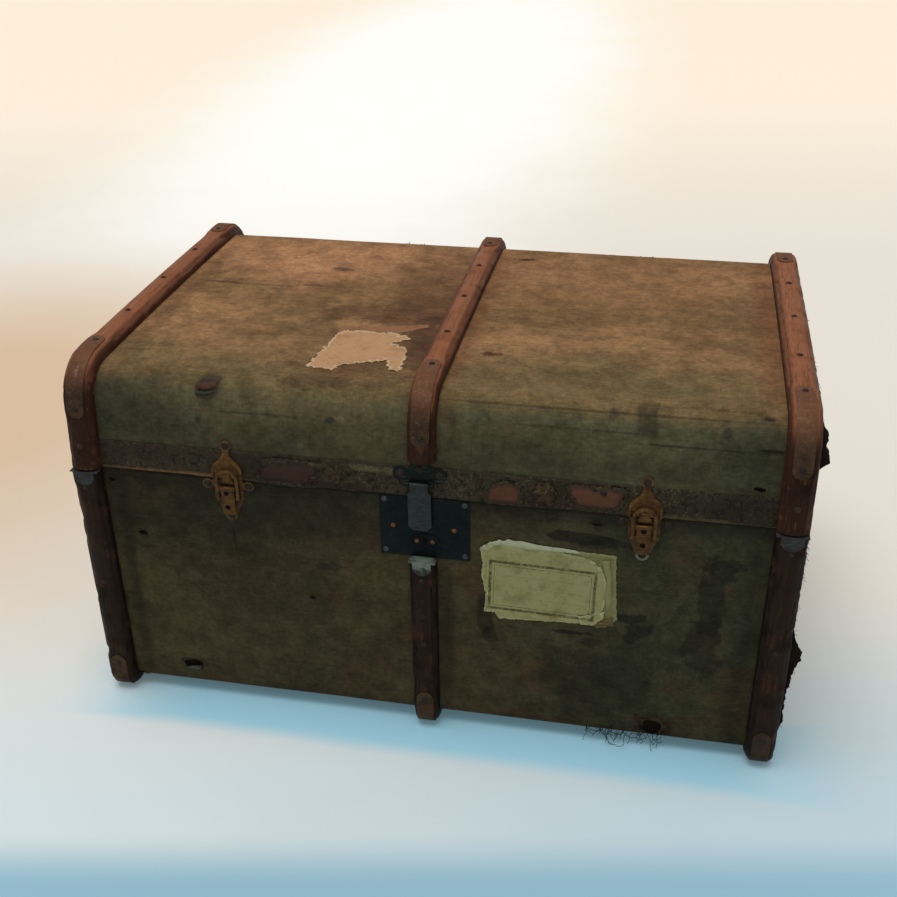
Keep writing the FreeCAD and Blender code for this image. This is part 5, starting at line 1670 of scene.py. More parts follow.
# ---- Linings ----
@dataclass
class Linings:
    """Plain cotton inside case and lid, slightly puckered."""

    form: TrunkForm
    cell: float = 8 * MM
    pucker: float = 0.5 * MM
    tight: float = 2 * MM

    def inner_box(self) -> Outline:
        """The case lining from its front upper edge over the bottom to its back upper edge."""
        low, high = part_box("body_lining")
        return Outline.trough(low.y, high.y, low.z, high.z, self.tight)

    def sheet(self, name: str, path: Outline, end: float, out: float, chords: int) -> Piece:
        """A puckered lining, set off from a path to its left by out."""

        def puffed(along: float, x: float) -> Vector:
            """A place on the lining, puckered inwards only."""
            plain = on_path(path, along, x, out)
            wave = self.pucker * max(0.0, 0.5 + rough(plain.x, plain.y, plain.z, 14.0))
            return on_path(path, along, x, out + (wave if out >= 0 else -wave))

        return wrapped_cloth(name, path, puffed, self.cell, end, chords, 0.8 * MM, (0.3, 0.6), True)

    def build(self) -> None:
        """Make and dress both linings."""
        box = self.inner_box()
        low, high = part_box("body_lining")
        wall = box.runs[0].length + box.runs[1].length
        walls = sum(1 for mark in stations(box, self.cell) if mark < wall - 1e-6)
        made = self.sheet("case_cotton_lining", box, high.x - 0.8 * MM, 0.8 * MM, walls)
        place_piece(made, "case", "lining_cloth", LINING, ["body_lining"])
        lid = self.form.lid_outline()
        low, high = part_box("lid_lining")
        inwards = (self.form.lid_top - high.z) + 0.8 * MM
        chords = (len(stations(lid, self.cell)) - 1) // 2
        made = self.sheet("lid_cotton_lining", lid, high.x - 0.8 * MM, -inwards, chords)
        place_piece(made, "lid", "lining_cloth", LINING, ["lid_lining"])


# ---- Studio ----
@dataclass
class Studio:
    """A pale floor that runs up to the horizon, soft overhead light and the camera."""

    floor_radius: float = 14.0
    camera: Vector = field(default_factory=lambda: Vector((0.2740567, -1.4910022, 1.112662)))
    yaw: float = -0.1979
    pitch: float = -0.5101
    roll: float = -0.0134
    lens: float = 47.476
    sun_strength: float = 1.8
    sky_strength: float = 0.45
    sun_width: float = math.radians(38)
    sun_way: tuple[float, float, float] = (-0.12, -0.06, 0.99)
    glow: float = 0.15
    bounce: Rgb = (232, 228, 218)
    painted_shadow: Rgb = (160, 210, 228)
    near: Rgb = (148, 188, 206)
    front: Rgb = (214, 225, 227)
    middle: Rgb = (230, 224, 213)
    far: Rgb = (253, 239, 218)
    # The bright colour is a painted pool of light far behind; the warm one a painted shadow at the far left.
    bright: Rgb = (255, 255, 250)
    warm: Rgb = (217, 190, 159)

    def floor(self) -> None:
        """A large disc with a graded colour, painted light and painted shadows, which shows its own shadow
        softly.
        """
        bm = bmesh.new()
        bmesh.ops.create_circle(bm, cap_ends=True, segments=96, radius=self.floor_radius)
        made = new_object("studio_floor", bm)
        material = bpy.data.materials.new("studio_paper")
        material.use_nodes = True
        g = Graph(material.node_tree)
        shader = material.node_tree.nodes["Principled BSDF"]
        x, y, _ = g.parts(g.place())
        slanted = g.minus(y, g.times(x, 0.18))
        wavy = g.plus(slanted, g.times(g.noise(g.place(), 1.6, 3.0), 0.12))
        colour = g.mix(g.ramp(wavy, -0.4, 0.1), shade(*self.front), shade(*self.middle))
        pool = g.minus(g.ramp(slanted, -1.5, -0.58), g.ramp(slanted, -0.58, -0.49))
        aside = g.rest(g.ramp(g.math("ABSOLUTE", x), 0.5, 1.4))
        colour = g.mix(g.times(pool, aside), colour, shade(*self.near))
        colour = g.mix(g.ramp(wavy, 1.3, 3.6), colour, shade(*self.far))
        for spot in (
            # Painted pool of light far behind the trunk.
            Spot((-820, 3800, 0), (780, 2800, 100), self.bright, 1.0, 0.5, 0.1, 2),
            # Warm painted shadow at the far left.
            Spot((-1120, 500, 0), (540, 660, 100), self.warm, 1.0, 0.7, 0.1, 2),
            Spot((620, -500, 0), (560, 360, 100), self.near, 0.4, 0.9, 0.1, 2),
            # Painted shadow strip along the trunk's front edge.
            Spot((15, -288, 0), (455, 66, 100), self.painted_shadow, 0.95, 0.25, 0.04, 8, 1.0),
        ):
            colour = spot.lay(g, g.place(), colour)
        ray = g.node("ShaderNodeLightPath")
        seen = g.math("MAXIMUM", ray.outputs["Is Camera Ray"], ray.outputs["Is Glossy Ray"])
        seen = g.math("MAXIMUM", seen, ray.outputs["Is Transmission Ray"])
        g.put(shader.inputs["Base Color"], g.mix(seen, shade(*self.bounce), colour))
        shader.inputs["Roughness"].default_value = 0.85
        shader.inputs["Specular IOR Level"].default_value = 0.1
        glow = g.fed(g.node("ShaderNodeEmission"), {"Color": colour})
        lit = {0: g.times(seen, self.glow), 1: shader.outputs[0], 2: glow}
        both = g.fed(g.node("ShaderNodeMixShader"), lit)
        g.put(material.node_tree.nodes["Material Output"].inputs["Surface"], both)
        made.data.materials.append(material)

    def lights(self) -> None:
        """A wide sun high above the front and an even sky."""
        lamp = bpy.data.lights.new("overhead_lamp", "SUN")
        lamp.energy = self.sun_strength
        lamp.angle = self.sun_width
        holder = bpy.data.objects.new("overhead_lamp", lamp)
        holder.rotation_mode = "QUATERNION"
        holder.rotation_quaternion = Vector(self.sun_way).to_track_quat("Z", "Y")
        bpy.context.scene.collection.objects.link(holder)
        world = bpy.data.worlds.new("studio_sky")
        world.use_nodes = True
        g = Graph(world.node_tree)
        ray = g.node("ShaderNodeLightPath")
        sky = world.node_tree.nodes["Background"]
        even = g.times(g.rest(ray.outputs["Is Camera Ray"]), self.sky_strength)
        g.put(sky.inputs["Strength"], g.plus(even, ray.outputs["Is Camera Ray"]))
        tint = g.mix(ray.outputs["Is Camera Ray"], (1.0, 1.0, 1.0, 1.0), shade(*self.far))
        g.put(sky.inputs["Color"], tint)
        bpy.context.scene.world = world

    def aim_camera(self) -> None:
        """Place the camera by its own three angles."""
        level = math.cos(self.pitch)
        ahead = Vector((math.sin(self.yaw) * level, math.cos(self.yaw) * level, math.sin(self.pitch)))
        right = Vector((math.cos(self.yaw), -math.sin(self.yaw), 0.0))
        up = right.cross(ahead)
        cos, sin = math.cos(self.roll), math.sin(self.roll)
        axes = (cos * right + sin * up, cos * up - sin * right, -ahead)
        lens = bpy.data.cameras.new("studio_camera")
        lens.lens = self.lens
        lens.sensor_width = 36.0
        lens.clip_end = 60.0
        made = bpy.data.objects.new("studio_camera", lens)
        made.matrix_world = Matrix.Translation(self.camera) @ Matrix(axes).transposed().to_4x4()
        bpy.context.scene.collection.objects.link(made)
        bpy.context.scene.camera = made

    def build(self) -> None:
        """Make the studio and set the view."""
        self.floor()
        self.lights()
        self.aim_camera()
        bpy.context.scene.view_settings.view_transform = "Standard"


# ---- Colours and marks of this trunk ----
FRONT, TOP = -290.0, 489.0
EVERY_DEPTH = 45.0


def on_front(*marks: tuple) -> tuple[Spot, ...]:
    """Marks on an upright front, each X, Z, half width, half height, colour and the spot's look."""
    return tuple(Spot((x, FRONT, z), (wide, EVERY_DEPTH, tall), *look) for x, z, wide, tall, *look in marks)


def on_top(*marks: tuple) -> tuple[Spot, ...]:
    """Marks on the lid's top, each X, Y, half width, half depth, colour and the spot's look."""
    return tuple(Spot((x, y, TOP), (wide, deep, EVERY_DEPTH), *look) for x, y, wide, deep, *look in marks)


# Dark colour for soot stains and for painted shade on the canvas.
SOOT_AND_SHADE = (25, 26, 22)
CASE_MARKS = on_front(
    # Painted shade: near-black behind the keyhole and the slot above it.
    (2, 296.5, 9, 12, (6, 5, 4), 1.0, 0.1, 0.0),
    (-3, 328, 4, 26, (6, 5, 4), 1.0, 0.1, 0.0, 60, 1.0),
    (-235, 200, 120, 70, (50, 43, 30), 0.5, 0.7, 0.5, 14),
    (-320, 95, 120, 60, (72, 66, 46), 0.65, 0.7, 0.5, 12),
    (60, 110, 110, 60, (66, 60, 42), 0.5, 0.7, 0.5, 14),
    # Painted shade below the band over the upper left of the front.
    (-225, 315, 240, 52, (34, 34, 25), 0.8, 0.8, 0.3, 12),
    # Painted shade along the canvas beside the three battens, with some dirt.
    (400, 180, 14, 240, SOOT_AND_SHADE, 0.4, 0.9, 0.2, 20),
    (-400, 180, 8, 240, SOOT_AND_SHADE, 0.5, 0.9, 0.2, 20),
    (28, 150, 9, 140, SOOT_AND_SHADE, 0.5, 0.9, 0.2, 20),
    (215, 105, 70, 55, (36, 37, 28), 0.5, 0.3, 0.8, 26),
    (192, 319, 46, 8, SOOT_AND_SHADE, 0.7, 0.1, 0.45, 40),
    (222, 314, 30, 8, SOOT_AND_SHADE, 0.55, 0.1, 0.5, 50),
    (262, 322, 34, 16, SOOT_AND_SHADE, 0.45, 0.4, 0.6, 36),
    (356, 240, 17, 50, SOOT_AND_SHADE, 0.55, 0.15, 0.35, 34, 0.5),
    (352, 180, 24, 46, SOOT_AND_SHADE, 0.5, 0.2, 0.45, 34, 0.4),
    (364, 292, 22, 13, SOOT_AND_SHADE, 0.6, 0.1, 0.7, 60),
    (380, 301, 8, 8, SOOT_AND_SHADE, 0.5, 0.1, 0.7, 90),
    (354, 306, 6, 9, SOOT_AND_SHADE, 0.5, 0.1, 0.7, 90),
    (78, 190, 11, 34, SOOT_AND_SHADE, 0.6, 0.2, 0.6, 50),
    (86, 156, 10, 18, SOOT_AND_SHADE, 0.55, 0.2, 0.6, 60),
    (262, 206, 26, 7, SOOT_AND_SHADE, 0.7, 0.08, 0.6, 60),
    (276, 190, 16, 9, SOOT_AND_SHADE, 0.65, 0.08, 0.7, 80),
    (262, 176, 10, 9, SOOT_AND_SHADE, 0.6, 0.1, 0.7, 80),
    (188, 175, 27, 3.2, SOOT_AND_SHADE, 0.75, 0.15, 0.5, 70),
    (212, 163, 14, 7, SOOT_AND_SHADE, 0.55, 0.1, 0.6, 70),
    (-328, 267, 14, 12, SOOT_AND_SHADE, 0.45, 0.5, 0.5, 60),
    (-126, 238, 18, 6, SOOT_AND_SHADE, 0.5, 0.2, 0.8, 70),
    # Painted shadow of the valance band across the top of the case front.
    (0, 352, 900, 13, SOOT_AND_SHADE, 0.6, 0.9, 0.3, 30),
    (0, 17, 900, 10, (66, 47, 32), 0.5, 0.6, 0.5, 40),
    (-250, 268, 1.6, 22, (24, 20, 15), 0.6, 0.3, 0.3, 90),
    (376, 263, 5, 3, (76, 44, 30), 0.7, 0.3, 0.6, 150),
    (300, 38, 24, 20, (44, 31, 24), 0.8, 0.3, 0.6, 60),
)
LID_MARKS = (
    *on_top(
        (-275, 150, 130, 100, (172, 124, 88), 0.75, 0.7, 0.5, 8),
        (-50, 40, 55, 190, (92, 64, 44), 0.7, 0.5, 0.6, 14),
        (-85, -212, 75, 26, (88, 58, 40), 0.65, 0.5, 0.6, 26),
        (150, 130, 220, 90, (142, 103, 70), 0.5, 0.7, 0.5, 8),
        (210, -205, 240, 42, (104, 88, 58), 0.6, 0.7, 0.5, 12),
        (380, 60, 40, 70, (100, 78, 52), 0.5, 0.95, 0.5, 16),
        (24, -20, 12, 250, (104, 64, 42), 0.55, 0.95, 0.2, 30),
        (406, 0, 15, 260, (116, 72, 46), 0.6, 0.95, 0.2, 30),
        (-400, 0, 11, 250, (96, 64, 44), 0.45, 0.95, 0.2, 30),
        (210, -262, 230, 1.6, (58, 48, 34), 0.6, 0.3, 0.4, 40),
    ),
    *on_front(
        (330, 449, 90, 1.5, (40, 42, 32), 0.7, 0.3, 0.4, 40),
        (335, 484, 75, 1.3, (56, 44, 32), 0.7, 0.3, 0.4, 40),
    ),
    *on_top(
        (-368, 38, 26, 3.2, (76, 54, 38), 0.75, 0.4, 0.7, 60),
        (-303, 35, 42, 2.6, (80, 58, 40), 0.55, 0.4, 0.8, 50),
        (-222, 44, 20, 3.2, (78, 56, 40), 0.65, 0.4, 0.8, 60),
        (57, 201, 13, 5, (70, 48, 34), 0.85, 0.3, 0.8, 70),
        (60, -147, 15, 6, (78, 50, 34), 0.9, 0.3, 0.8, 70),
    ),
    *on_front(
        (0, 505, 900, 26, (94, 84, 58), 0.4, 0.9, 0.3, 10),
        (0, 410, 900, 24, (52, 54, 40), 0.55, 0.9, 0.3, 10),
        (-380, 440, 80, 46, (54, 55, 43), 0.8, 0.8, 0.4, 12),
        (400, 440, 70, 50, (52, 55, 42), 0.75, 0.9, 0.4, 12),
        (-170, 470, 130, 24, (104, 92, 62), 0.5, 0.8, 0.4, 12),
        (-292, 436, 9, 8, (84, 88, 72), 0.55, 0.6, 0.9, 120),
        (-284, 434, 4, 5, (34, 36, 30), 0.7, 0.4, 0.9, 160),
        (-102, 450, 7, 4, (112, 104, 78), 0.55, 0.4, 0.9, 160),
        (404, 452, 14, 2.2, SOOT_AND_SHADE, 0.8, 0.2, 0.4, 90),
        (402, 481, 12, 2.0, SOOT_AND_SHADE, 0.7, 0.2, 0.4, 90),
        (-210, 447, 60, 2.0, (46, 44, 34), 0.5, 0.3, 0.5, 50),
        (180, 460, 90, 1.6, (52, 48, 36), 0.5, 0.3, 0.4, 40),
    ),
    *on_top(
        (-204, 114, 15, 7, (98, 66, 46), 0.75, 0.4, 0.7, 60),
        (-169, 173, 16, 9, (126, 84, 60), 0.6, 0.4, 0.7, 60),
        (-106, 126, 12, 7, (106, 72, 50), 0.5, 0.4, 0.7, 60),
        (-260, -6, 34, 16, (104, 76, 50), 0.45, 0.5, 0.9, 40),
        (-190, 30, 60, 24, (108, 78, 52), 0.2, 0.5, 0.8, 26),
        (-100, -40, 80, 30, (92, 64, 44), 0.7, 0.5, 0.9, 30),
        (-34, -130, 20, 74, (80, 54, 39), 0.75, 0.5, 0.6, 30),
        (-170, -130, 26, 60, (104, 80, 52), 0.5, 0.6, 0.7, 30),
    ),
    Spot((-135, -250, 488), (52, 11, 22), (70, 50, 36), 0.6, 0.4, 0.8, 40),
    *on_front(
        (-272, 474, 17, 20, (40, 34, 26), 0.6, 0.5, 0.4, 50),
        (-114, 447, 7, 4, (48, 51, 50), 0.75, 0.3, 0.8, 110),
        (353, 466, 6, 6, (46, 48, 46), 0.75, 0.3, 0.5, 110),
    ),
    Spot((224, -266, 478), (6, 9, 8), (56, 46, 40), 0.75, 0.4, 0.5, 90),
    *on_front((263, 476, 12, 18, (50, 43, 32), 0.65, 0.25, 0.25, 60, 1.0)),
)
BAND_MARKS = on_front(
    (-390, 380, 80, 20, (46, 38, 29), 0.6, 0.5, 0.6, 30),
    # Painted highlight along the curled lower lip at the left.
    (-340, 359, 100, 3.5, (116, 84, 58), 0.75, 0.5, 0.5, 40),
    (-230, 374, 40, 20, (38, 31, 24), 0.6, 0.5, 0.8, 40),
    (-110, 362, 40, 5, (38, 26, 21), 0.7, 0.4, 0.6, 60),
    (-70, 388, 70, 4, (92, 86, 62), 0.6, 0.4, 0.7, 60),
    (150, 372, 30, 24, (40, 31, 23), 0.6, 0.4, 0.8, 60),
    (400, 376, 90, 24, (32, 29, 23), 0.65, 0.5, 0.6, 30),
    (330, 359, 60, 3.5, (78, 74, 52), 0.6, 0.4, 0.6, 60),
)
CASE_CANVAS = CanvasFinish("case_canvas", (60, 57, 39), (76, 70, 48), (40, 40, 29), spots=CASE_MARKS)
LID_CANVAS = CanvasFinish(
    "lid_canvas", (76, 74, 54), (100, 92, 64), (58, 58, 43), side_right=(80, 83, 60),
    side_brown=(84, 72, 50), spots=LID_MARKS, shift=1.7,
)
CASE_SHRED = ClothFinish("case_canvas_shreds", (56, 50, 36), (36, 32, 24))
LID_SHRED = ClothFinish("lid_canvas_shreds", (66, 64, 49), (44, 42, 32))
WORN_STRIP = ClothFinish("lid_worn_strip_cloth", (56, 60, 48), (36, 38, 30))
DARK_CLOTH = ClothFinish("torn_covering", (34, 27, 22), (16, 12, 10))
LINING = ClothFinish("cotton_lining", (172, 160, 132), (126, 108, 80), (0, 1))
THREAD = ClothFinish("loose_threads", (26, 21, 18), (16, 13, 11))
WAXED_THREAD = ClothFinish("waxed_stitches", (176, 154, 112), (122, 98, 66), (1, 2), 0.4 * MM)
# Near-black sheet in each hole and dent: painted shade.
HOLE_SHADE = ClothFinish("open_hole", (12, 10, 8), (28, 19, 13))
# Lid battens: the lighter upper colour is painted light; the darker front below it and the flank colour are
# painted shade.
LID_WOOD = WoodFinish(
    "lid_bentwood", (48, 30, 21), (26, 17, 12), (146, 96, 64), upper=(136, 85, 57), shaded_flank=(56, 32, 23),
    scraped=0.2,
)
# Body battens: the flank colour is painted shade.
BODY_WOOD = WoodFinish(
    "body_bentwood", (41, 29, 22), (19, 15, 12), (84, 52, 34), shaded_flank=(27, 19, 15), scraped=0.3, shift=4.0
)
BOARD_WOOD = WoodFinish(
    "plain_boards", (150, 118, 80), (96, 70, 46), (190, 158, 116), scraped=0.2, gloss=0.7
)
BAND = BandFinish("fibre_band", spots=BAND_MARKS)
FOLDED = BandFinish("fibre_band_fold", (52, 43, 29), (86, 72, 48), (22, 16, 11))
CORE = PaperFinish("fibre_core", (82, 53, 40), (62, 41, 31), torn=(50, 36, 26), torn_share=0.8)
CORE_DARK = PaperFinish("fibre_core_dark", (52, 35, 26), (42, 31, 23), torn=(30, 24, 18), torn_share=0.8)
WORN_DARK = PaperFinish("worn_dark", (50, 42, 32), (36, 31, 24), torn=(66, 60, 45), torn_share=0.9)
RAW_CORE = PaperFinish("raw_core", (112, 68, 46), (70, 46, 33), torn=(48, 34, 25), torn_share=0.7)
LABEL_BACKING = PaperFinish(
    "label_backing", (112, 114, 72), (76, 72, 42), torn=(138, 140, 102), torn_share=0.5
)
LABEL_STAINED = PaperFinish("label_stained", (84, 72, 42), (58, 48, 28), torn=(104, 94, 60), torn_share=0.5)
LABEL_FACE = PaperFinish(
    "label_face", (138, 140, 97), (104, 100, 62), frame_middle=(149.5, 235.5), frame_half=(65.5, 35.5),
    frame_turn=math.radians(-1.5), torn=(172, 178, 142), torn_share=0.45,
)
LABEL_SLIVER = PaperFinish(
    "label_slivers", (146, 152, 122), (104, 104, 72), torn=(170, 182, 156), torn_share=0.5
)
TOP_PAPER = PaperFinish("torn_paper", (174, 135, 97), (148, 109, 76), torn=(208, 184, 148), torn_share=0.6)
TOP_LAYER = PaperFinish(
    "torn_paper_layer", (134, 92, 63), (104, 70, 48), torn=(150, 110, 80), torn_share=0.5
)
DARK_IRON = MetalFinish("dark_iron", (44, 39, 33), (50, 35, 26), (92, 84, 72), metallic=0.15, gloss=0.5)
NAIL_IRON = MetalFinish("nail_heads", (66, 48, 37), (46, 34, 27), (110, 88, 70), metallic=0.1, gloss=0.6)
# The straps' lighter upper colour is painted light.
STRAP_IRON = MetalFinish(
    "rusty_strap", (74, 55, 40), (48, 36, 27), (104, 80, 58), metallic=0.15, gloss=0.55, scale=60.0,
    upper=(120, 78, 54),
    spots=(
        Spot((-438, -270, 485), (2.6, 14, 5), (126, 114, 98), 0.65, 0.3, 0.9, 200),
        *on_front((420, 40, 30, 60, (44, 37, 29), 0.7, 0.8, 0.3, 40)),
    ),
)
CATCH_BRASS = MetalFinish("worn_brass", (104, 74, 40), (54, 37, 22), (156, 124, 76), rusted=0.8, scale=90.0)
# Painted shade: near-black spots on the levers over their holes.
STAR_PLACES = ((-252, 339), (-251.5, 319), (269, 341), (269, 321))
STAR_HOLE_SHADE = on_front(*((x, z, 3.4, 3.4, (12, 8, 6), 1.0, 0.12, 0.04, 150) for x, z in STAR_PLACES))
LEVER_BRASS = MetalFinish(
    "worn_lever_brass", (100, 68, 34), (52, 34, 20), (150, 116, 68), rusted=0.75, scale=90.0, spots=STAR_HOLE_SHADE
)
BOLT_BRASS = MetalFinish("dull_bolt_brass", (48, 38, 22), (30, 22, 14), (84, 68, 42), metallic=0.3)
CATCH_BASE = MetalFinish(
    "catch_base_brass", (92, 66, 37), (50, 35, 22), (146, 120, 80), rusted=0.8, scale=90.0,
    spots=on_front(
        (271, 299, 14, 12, (118, 118, 104), 0.7, 0.4, 0.8, 120),
        (242, 350, 10, 9, (32, 29, 23), 0.85, 0.3, 0.4, 90),
        (296, 350, 10, 9, (32, 29, 23), 0.85, 0.3, 0.4, 90),
    ),
)
LOCK_STEEL = MetalFinish(
    "lock_plate_steel", (13, 23, 22), (8, 13, 12), (60, 74, 70), scratched=0.22, metallic=0.25, gloss=0.45
)
HASP_STEEL = MetalFinish(
    "hasp_plate_steel", (24, 32, 30), (14, 18, 16), (104, 112, 102), scratched=0.4, metallic=0.4,
    spots=on_front((38, 378, 10, 6, (120, 124, 110), 0.6, 0.4, 0.8, 150)),
)
FLAP_STEEL = MetalFinish("hasp_flap_steel", (56, 59, 59), (42, 40, 37), (104, 106, 104), rusted=0.55)
CAP_STEEL = MetalFinish(
    "cap_steel", (57, 60, 58), (46, 39, 33), (108, 114, 110), rusted=0.75, metallic=0.35,
    spots=on_front((0, 272, 16, 13, (118, 130, 119), 0.75, 0.4, 0.8, 120)),
)
# Lock parts seen through the keyhole: near-black, painted shade.
LOCK_INSIDE_SHADE = MetalFinish("lock_inside", (18, 17, 15), (14, 12, 10), (40, 38, 34), metallic=0.2)
COPPER = MetalFinish("copper_rivets", (124, 82, 54), (78, 50, 34), (176, 132, 96), rusted=0.6, gloss=0.45)
SCREW_STEEL = MetalFinish(
    "bright_screws", (70, 78, 76), (34, 40, 38), (150, 158, 154), rusted=0.6, scale=160.0
)
TIN = MetalFinish("bent_tin", (72, 68, 60), (52, 44, 35), (168, 166, 158), rusted=0.6, gloss=0.35)
HANDLE_LEATHER = LeatherFinish("handle_leather")

LABEL_SHEETS = sheets(
    Face.CASE_FRONT, "label_paper",
    ("label_backing", LABEL_BACKING, 0.25, 0.5, 11, (
        (88, 297), (160, 301), (200, 299), (239, 298), (241, 250), (245, 202), (237, 195), (205, 191),
        (96, 189),
    ), 0.8, 2.5, ("paper_label",)),
    ("label_face", LABEL_FACE, 0.6, 1.2, 12, (
        (71, 289), (75, 294), (98, 302), (112, 300), (160, 298), (208, 289), (222, 278), (228, 262),
        (232, 240), (226, 214), (209, 201), (203, 192), (150, 189), (96, 186), (90, 195), (77, 194),
        (79, 222), (73, 252), (75, 270),
    ), 0.9, 1.6),
    ("label_left_curl", LABEL_SLIVER, 0.9, 1.6, 71, (
        (72, 292), (84, 301), (96, 306), (104, 304), (98, 299), (90, 296), (80, 288),
    ), 0.7, 1.2),
    ("label_corner_fold", LABEL_FACE, 0.95, 1.8, 72, (
        (196, 203), (206, 206), (222, 210), (230, 216), (226, 200), (214, 191), (200, 190),
    ), 0.8, 1.4),
    ("label_brown_corner", LABEL_STAINED, 0.3, 0.8, 73, (
        (224, 200), (240, 206), (241, 192), (232, 190), (222, 186), (216, 190),
    ), 1.2, 1.4),
    ("label_upper_sliver", LABEL_SLIVER, 0.95, 1.3, 13, (
        (95, 299), (105, 307), (128, 306), (150, 303), (190, 301), (196, 297), (150, 296), (118, 297),
    ), 0.6, 1.5),
    ("label_side_sliver", LABEL_BACKING, 0.8, 1.2, 14, (
        (222, 290), (231, 291), (235, 262), (237, 230), (233, 214), (228, 232), (229, 262),
    ), 0.5, 1.5),
)
TOP_SHEETS = sheets(
    Face.LID_TOP, "label_paper",
    ("torn_paper_layer", TOP_LAYER, 0.15, 0.3, 15, (
        (-150, -116), (-147, -94), (-112, -88), (-76, -80), (-36, -70), (-32, -77), (-58, -96),
        (-84, -112),
    ), 1.2),
    ("torn_paper", TOP_PAPER, 0.4, 0.8, 16, (
        (-160, -218), (-146, -112), (-137, -104), (-77, -104), (-46, -117), (-70, -135), (-51, -145),
        (-43, -174), (-43, -216), (-56, -212), (-63, -184), (-119, -208), (-124, -222),
    ), 2.8, 1.5),
)
PEELS = sheets(
    Face.BAND, "fibre_band",
    ("band_peel_left", CORE_DARK, 0.75, 0.4, 17, (
        (-197, 388), (-185, 391), (-153, 389), (-128, 390), (-129, 379), (-138, 373), (-146, 361),
        (-178, 360), (-210, 362),
    ), 0.8, 1.0),
    ("band_peel_middle", CORE, 0.75, 0.4, 18, (
        (78, 363), (88, 380), (100, 386), (115, 385), (121, 377), (121, 361), (98, 360), (80, 360),
    ), 0.8, 1.0),
    ("band_peel_right", CORE, 0.75, 0.4, 19, (
        (176, 388), (189, 391), (246, 392), (243, 380), (235, 365), (216, 363), (190, 366), (182, 377),
    ), 0.8, 1.0),
)
RIMS = tuple(peel.grown(peel.name + "_rim", BAND, 4.0, 0.5, 2.2) for peel in PEELS)
OTHER_SCRAPS = (
    *sheets(
        Face.BAND, "fibre_band",
        ("band_fold", FOLDED, 0.6, 2.6, 20, (
            (139, 391), (155, 393), (164, 380), (160, 363), (146, 359), (137, 372),
        ), 2.0),
        ("band_fold_left", FOLDED, 0.6, 2.0, 21, (
            (-118, 390), (-96, 392), (-84, 384), (-97, 377), (-108, 366), (-120, 372),
        ), 2.0),
    ),
    *sheets(
        Face.LID_FRONT, "olive_canvas",
        ("lid_worn_patch", WORN_DARK, 0.0, 0.3, 22, (
            (-282, 489), (-257, 492), (-259, 472), (-267, 461), (-285, 463), (-289, 475),
        ), 1.2),
        ("lid_worn_core", RAW_CORE, 0.6, 1.6, 23, (
            (-284, 480), (-261, 485), (-260, 476), (-277, 472), (-285, 474),
        ), 1.0),
        ("lid_worn_strip", WORN_STRIP, 0.6, 1.4, 24, (
            (-285, 470), (-272, 469), (-262, 473), (-263, 469), (-274, 465), (-286, 466),
        ), 0.7, 1.0),
    ),
    *sheets(
        Face.CASE_FRONT, "bright_screw",
        ("tin_scrap_foot", TIN, 0.4, 2.0, 61, (
            (-421, 15), (-417, 23), (-411, 22), (-403, 16), (-408, 14),
        ), 0.4, 1.5),
        ("tin_scrap_dent", TIN, 1.0, 1.5, 62, (
            (-345, 43), (-333, 46), (-321, 48), (-322, 41), (-333, 38), (-344, 37),
        ), 0.4, 1.5),
    ),
)
SCRAPS = LABEL_SHEETS + TOP_SHEETS + RIMS + PEELS + OTHER_SCRAPS
HOLES = (
    Hole("left_hole", (-377, 263), (6.5, 4.0), 4),
    Hole("upper_left_hole", (-408, 341), (4.0, 4.0), 4),
    Hole("mid_hole", (-151, 187), (4.0, 2.5), 3),
    Hole("lower_left_dent", (-333, 49), (14.0, 9.5), 8),
    Hole("worn_lower_edge", (300, 36), (15.0, 11.0), 22),
    Hole("slit", (214, 341), (9.0, 1.6), 2),
    Hole("lid_right_corner_slit", (396, 405), (9.0, 3.0), 3, True),
)
RIBBONS = (
    Ribbon("peeled_flap_upper", True, 74, 152, 16.0, 51, 3.0, 0.2),
    Ribbon("peeled_edge_top_front", True, 146, 330, 6.0, 52, 3.0),
    Ribbon("peeled_edge_top_back", True, 320, 600, 4.5, 53, 3.0),
    Ribbon("peeled_flap_front", False, 60, 222, 17.0, 54, 7.0, 0.7),
    Ribbon("peeled_flap_foot", False, 24, 130, 9.0, 55, 7.0, 0.5),
    Ribbon("peeled_edge_front", False, 235, 352, 4.0, 56, 7.0),
)
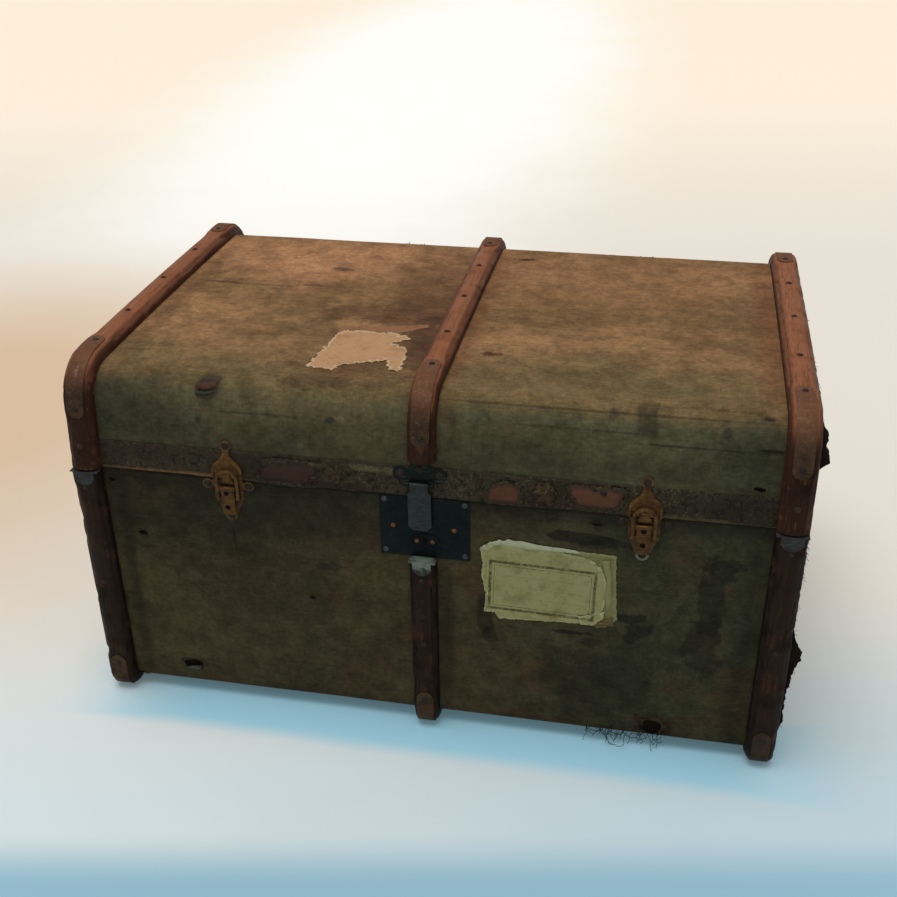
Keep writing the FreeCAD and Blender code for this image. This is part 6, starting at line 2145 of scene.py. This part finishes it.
FITTINGS = (
    Fitting("catch_bases", "case", "worn_brass", CATCH_BASE),
    Fitting("catch_keepers", "lid", "worn_brass", CATCH_BRASS),
    Fitting("left_catch_lever", "left_lever", "worn_brass", LEVER_BRASS),
    Fitting("right_catch_lever", "right_lever", "worn_brass", LEVER_BRASS),
    Fitting("left_catch_loop", "left_loop", "worn_brass", CATCH_BRASS, 0.2),
    Fitting("right_catch_loop", "right_loop", "worn_brass", CATCH_BRASS, 0.2),
    Fitting("hasp_hinge_plate", "lid", "dark_iron", HASP_STEEL),
    Fitting("hasp_flap", "hasp", "grey_steel", FLAP_STEEL, 0.4),
    Fitting("lock_plate", "case", "dark_iron", LOCK_STEEL),
    Fitting("keyhole_escutcheon", "case", "dark_iron", LOCK_STEEL),
    Fitting("body_bend_straps", "case", "rusty_strap", STRAP_IRON),
    Fitting("lid_bend_straps", "lid", "rusty_strap", STRAP_IRON),
    Fitting("batten_end_caps", "case", "grey_steel", CAP_STEEL, 0.25),
    Fitting("handle_brackets", "case", "dark_iron", DARK_IRON),
)
KEPT_NODES = (
    (
        DARK_IRON,
        (
            "body_batten_nails", "body_strap_screws", "lid_strap_screws", "hasp_pin", "catch_base_rivets",
            "lid_fitting_rivets", "handle_bracket_rivets", "hinge_pins", "lower_hinge_leaves",
            "upper_hinge_leaves", "lower_hinge_screws", "upper_hinge_screws",
        ),
    ),
    (NAIL_IRON, ("lid_batten_nails",)),
    (COPPER, ("lock_plate_rivets",)),
    (SCREW_STEEL, ("lock_plate_screws",)),
    (LOCK_INSIDE_SHADE, ("lock_case", "bolt_spring", "key_post")),
    (CATCH_BRASS, ("catch_pivot_pins", "left_loop_pin", "right_loop_pin")),
    (BOLT_BRASS, ("lock_bolt",)),
    (
        BOARD_WOOD,
        (
            "front_board", "back_board", "bottom_board", "left_end_board", "right_end_board",
            "lid_bent_board", "lid_left_end", "lid_right_end",
        ),
    ),
)


def main() -> None:
    """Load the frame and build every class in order."""
    logging.basicConfig(level=logging.INFO, format="%(name)s: %(message)s")
    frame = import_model()
    form = TrunkForm()
    Studio().build()
    covers = CanvasCovers(form)
    covers.build()
    Battens(form).build()
    valance = Valance(form)
    valance.build()
    Scraps(covers, valance).build()
    Tears(covers).build()
    Fittings(frame["nodes"]).build()
    Handles().build()
    Linings(form).build()


if __name__ == "__main__":
    main()
